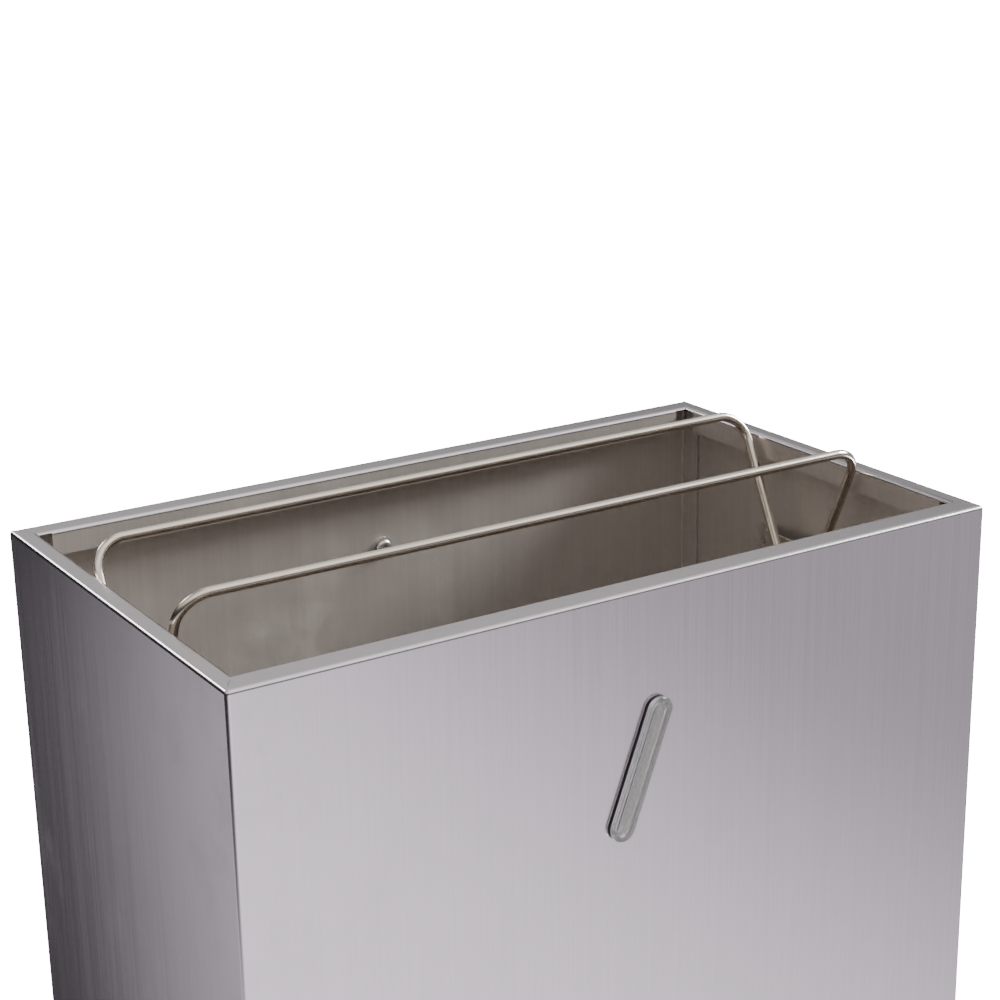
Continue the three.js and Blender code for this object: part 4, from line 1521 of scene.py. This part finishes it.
@dataclass
class Foot:
    """One rubber foot with the washer, screw and nut that hold it under the pan."""

    corner: str
    size: Thread = M4
    top_radius: float = 14.0 * MM
    base_radius: float = 12.0 * MM
    bore: float = 5.4 * MM
    bore_depth: float = 5.0 * MM

    def _rubber(self, height: float) -> Mesh:
        """The turned foot, with rounded edges and two grip grooves in its base.

        Args:
            height: Floor to top.

        Returns:
            The foot, standing on 0.
        """
        hole = self.size.thread + self.size.play
        soft = 1.0 * MM
        profile = [(self.bore + 0.4 * MM, 0.0)]
        for radius in (7.4 * MM, 9.4 * MM):
            profile += [(radius - 0.5 * MM, 0.0), (radius - 0.3 * MM, 0.5 * MM),
                        (radius + 0.3 * MM, 0.5 * MM), (radius + 0.5 * MM, 0.0)]
        rounds = [math.radians(a) for a in (0, 18, 36, 54, 72, 90)]
        profile += [(self.base_radius - soft + soft * math.sin(a), soft - soft * math.cos(a))
                    for a in rounds]
        profile += [(self.top_radius - soft + soft * math.cos(a), height - soft + soft * math.sin(a))
                    for a in rounds]
        profile += [(hole + 0.3 * MM, height), (hole, height - 0.3 * MM), (hole, self.bore_depth),
                    (self.bore - 0.2 * MM, self.bore_depth), (self.bore, self.bore_depth - 0.2 * MM),
                    (self.bore, 0.4 * MM)]
        return turned(profile, 64)

    def build(self) -> None:
        """Builds the four pieces where the frame has them."""
        node = f"foot_{self.corner}"
        middle = middle_of(node)
        rubber = place(self._rubber(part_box(node)[1].z), Matrix.Translation((middle.x, middle.y, 0)))
        Blank(f"rubber_{node}", rubber).dress(FOOT_RUBBER, "foot_rubber", Body.CASING, node, sharp=50)
        clamp(self.size, "foot", f"_{self.corner}", Matrix.Identity(4), 2)


# ---------------------------------------------------------------------------
# Studio
# ---------------------------------------------------------------------------


@dataclass
class Camera:
    """The main view, from above on the front left."""

    eye: Point = (-0.537, -0.8573, 0.9352)
    heading: float = -32.096
    pitch: float = 17.861
    roll: float = 1.008
    lens: float = 76.67

    def build(self) -> None:
        """Makes the camera and hands it to the scene."""
        data = bpy.data.cameras.new("main_camera")
        data.sensor_width = 36.0
        data.lens = self.lens
        data.clip_start, data.clip_end = 0.02, 200.0
        camera = linked("main_camera", data)
        turn = (
            Matrix.Rotation(math.radians(self.heading), 4, "Z")
            @ Matrix.Rotation(math.radians(90 - self.pitch), 4, "X")
            @ Matrix.Rotation(math.radians(-self.roll), 4, "Z")
        )
        camera.matrix_world = Matrix.Translation(self.eye) @ turn
        bpy.context.scene.camera = camera
        log.info("camera at %s, lens %.1f mm", self.eye, self.lens)


@dataclass
class Studio:
    """Pale floor, soft light, and a toned table and sky that only steel mirrors.

    A band says where a tone starts and ends to change, and the two values that it changes between.
    """

    floor_size: float = 120.0
    floor_colour: Colour = (0.82, 0.82, 0.83)
    backdrop: float = 22.0
    floor_glow: float = 20.0
    key_from: Point = (0.80, -0.26, 0.48)
    key_energy: float = 6.2
    key_spread: float = 20.0
    # Distance over which the floor's painted contact shadow fades out.
    shadow_reach: Band = (0.0, 0.55, 0.0, 1.0)
    front_side: Band = (0.1, -0.5, 0.0, 1.0)
    front_sky: Band = (0.2, 0.6, 0.12, 1.5)
    back_slant: float = 0.15
    back_sky: tuple[Band, Band, Band] = (
        (0.1, 0.2, 0.02, 0.32), (0.17, 0.31, 0.0, 0.4), (0.35, 0.8, 0.0, 0.2))
    left_shade: Band = (-0.15, 0.22, 0.1, 1.0)
    high_left_rise: Band = (0.27, 0.42, 0.0, 0.55)
    high_left_turn: Band = (0.0, -0.45, 0.0, 1.0)
    zenith: Band = (0.8, 0.98, 0.0, 0.4)
    pane_facing: Point = (-0.25, 0.86, 0.44)
    pane: Band = (0.982, 0.994, 0.0, 10.0)
    table_level: float = 0.5 * MM
    table_ahead: Band = (0.1, 1.05, 1.55, 0.5)
    border_facing: Point = (0.934, 0.357, 0.0)
    border_pale: Band = (-0.36, -0.14, 0.8, 0.0)
    border_end: Band = (-1.3, -0.85, 0.0, 1.0)
    flank_tone: float = 0.012
    behind_turn: Band = (-0.2, 0.15, 0.0, 1.0)
    left_turn: Band = (0.15, -0.25, 0.0, 1.0)
    far_left: Band = (-0.55, -0.95, 0.0, 1.0)

    def build(self) -> None:
        """Builds the surroundings, the floor, the key lamp and the mirrored table."""
        self.surroundings()
        self.floor()
        self.lamps()
        self.table()

    def surroundings(self) -> None:
        """White to look at; as light, dark at the horizon in front, bright overhead and at the back left."""
        world = bpy.data.worlds.new("studio")
        bpy.context.scene.world = world
        world.use_nodes = True
        world.node_tree.nodes.clear()
        tree = Tree(world.node_tree)
        direction = tree.node("TexCoord").outputs["Generated"]
        parts = tree.node("SeparateXYZ", {0: direction}).outputs
        front = tree.spread(parts["Y"], *self.front_side)
        in_front = tree.spread(parts["Z"], *self.front_sky)
        behind = self._sky_behind(tree, parts)
        low = tree.total(
            tree.product(front, in_front), tree.product(tree.math("SUBTRACT", 1.0, front), behind))
        overhead = tree.total(low, tree.spread(parts["Z"], *self.zenith))
        pane = tree.spread(tree.along(direction, self.pane_facing), *self.pane)
        soft = tree.node("Background", {
            "Color": (1.0, 0.98, 0.96, 1), "Strength": tree.total(overhead, pane)})
        white = tree.node("Background", {"Color": (1, 1, 1, 1), "Strength": self.backdrop})
        tree.finish("World", self._for_camera(tree, soft.outputs[0], white.outputs[0]))

    def _sky_behind(self, tree: Tree, parts: bpy.types.bpy_prop_collection) -> Socket:
        """Shapes the sky behind: dark at the horizon and on the left, where only its upper part is light.

        Args:
            tree: The world's nodes.
            parts: X, Y and Z of the direction.

        Returns:
            Its strength.
        """
        slant = tree.math("SUBTRACT", parts["Z"], tree.product(parts["X"], self.back_slant))
        low, middle, high = (tree.spread(slant, *band) for band in self.back_sky)
        behind = tree.total(low, tree.total(middle, high))
        shaded = tree.product(behind, tree.spread(parts["X"], *self.left_shade))
        return tree.total(shaded, tree.product(
            tree.spread(parts["Z"], *self.high_left_rise), tree.spread(parts["X"], *self.high_left_turn)))

    @staticmethod
    def _for_camera(tree: Tree, unseen: Socket, seen: Socket) -> Socket:
        """Joins a surface for all other rays with one that the camera sees, and returns the mix."""
        ray = tree.node("LightPath").outputs["Is Camera Ray"]
        return tree.node("MixShader", {0: ray, 1: unseen, 2: seen}).outputs[0]

    @staticmethod
    def _plate(name: str, half: float, level: float, material: bpy.types.Material) -> bpy.types.Object:
        """Lays a square plate about the middle of the floor and returns it."""
        mesh = bmesh.new()
        bmesh.ops.create_grid(
            mesh, x_segments=8, y_segments=8, size=half, matrix=Matrix.Translation((0, 0, level)))
        plate = solid(name, mesh)
        plate.data.materials.append(material)
        return plate

    @staticmethod
    def _bare(name: str) -> tuple[bpy.types.Material, Tree]:
        """Makes an empty material and returns it with its nodes."""
        material = bpy.data.materials.new(name)
        material.use_nodes = True
        material.node_tree.nodes.clear()
        return material, Tree(material.node_tree)

    def floor(self) -> None:
        """A wide pale floor that the camera sees a little brighter than the steel does, its glow dimmed
        towards the bin's footprint as a painted contact shadow.
        """
        material, tree = self._bare("pale_floor")
        where = tree.where()
        fleck = tree.spread(tree.noise(where, 60.0, 4.0), 0.3, 0.7, 0.0, 1.0)
        colour = tree.blend(fleck, tuple(c * 0.985 for c in self.floor_colour), self.floor_colour)
        matt = tree.node("BsdfPrincipled", {
            "Base Color": colour, "Roughness": 0.9, "Specular IOR Level": 0.1})
        # Painted contact shadow: the glow that the camera sees fades out towards the bin's footprint.
        spot = tree.node("SeparateXYZ", {0: where}).outputs
        gaps = [tree.math("MAXIMUM", tree.math("SUBTRACT", tree.math("ABSOLUTE", spot[axis]), half), 0.0)
                for axis, half in (("X", 0.2), ("Y", 0.115))]
        away = tree.math("SQRT", tree.total(*[tree.product(gap, gap) for gap in gaps]))
        painted_shadow_falloff = tree.spread(away, *self.shadow_reach)
        strength = tree.product(tree.product(painted_shadow_falloff, painted_shadow_falloff), self.floor_glow)
        glow = tree.node("Emission", {"Color": (1, 1, 1, 1), "Strength": strength})
        lit = tree.node("AddShader", {0: matt.outputs[0], 1: glow.outputs[0]})
        tree.finish("Material", self._for_camera(tree, matt.outputs[0], lit.outputs[0]))
        self._plate("floor", self.floor_size / 2, 0.0, material)

    def lamps(self) -> None:
        """A soft key from the right and above."""
        data = bpy.data.lights.new("key", "SUN")
        data.energy = self.key_energy
        data.angle = math.radians(self.key_spread)
        key = linked("key", data)
        key.rotation_euler = Vector(self.key_from).to_track_quat("Z", "Y").to_euler()

    def table(self) -> None:
        """A table top that only reflections show: pale in front, darker to the right, dark on the left."""
        material, tree = self._bare("table_tone")
        where = tree.where()
        parts = tree.node("SeparateXYZ", {0: where}).outputs
        ahead = tree.spread(parts["X"], *self.table_ahead)
        pale = tree.spread(tree.along(where, self.border_facing), *self.border_pale)
        close = tree.spread(parts["X"], *self.border_end)
        flank = tree.total(self.flank_tone, tree.product(pale, close))
        behind = tree.spread(parts["Y"], *self.behind_turn)
        left = tree.math("MAXIMUM", tree.product(tree.spread(parts["X"], *self.left_turn), behind),
                         tree.spread(parts["X"], *self.far_left))
        tone = tree.total(
            tree.product(left, flank), tree.product(tree.math("SUBTRACT", 1.0, left), ahead))
        glow = tree.node("Emission", {"Color": (1.04, 0.975, 1.05, 1), "Strength": tone})
        tree.finish("Material", glow.outputs[0])
        plate = self._plate("mirrored_table", self.floor_size / 2, self.table_level, material)
        plate.visible_camera = False
        plate.visible_shadow = False
        plate.visible_diffuse = False


def main() -> None:
    """Builds the camera, the studio and every sub-assembly in order."""
    logging.basicConfig(level=logging.INFO, format="%(name)s: %(message)s")
    Camera().build()
    Studio().build()
    sizes = CasingSizes()
    lens = Lens(front=-sizes.half_depth)
    Casing(sizes, lens).build()
    lens.build()
    joints = {joint["child"]: Vector(joint["pos_m"]) for joint in frame["joints"]}
    leans = (23.0, 26.0)
    front_pivot, back_pivot = joints["front_wire"], joints["back_wire"]
    BagWire("bag_wire_front", "front_bag_wire", Body.FRONT_WIRE, front_pivot, leans[0]).build()
    BagWire("bag_wire_back", "back_bag_wire", Body.BACK_WIRE, back_pivot, -leans[1]).build()
    for hand, side in (("left", -1), ("right", 1)):
        Bracket(hand, side, back_pivot.z, back_pivot.y, leans, sizes.half_width - sizes.sheet).build()
    clamp(M5, "back", "", Matrix.Rotation(-math.pi / 2, 4, "X"), 1)
    for corner in CORNERS:
        Foot(corner).build()


if __name__ == "__main__":
    main()
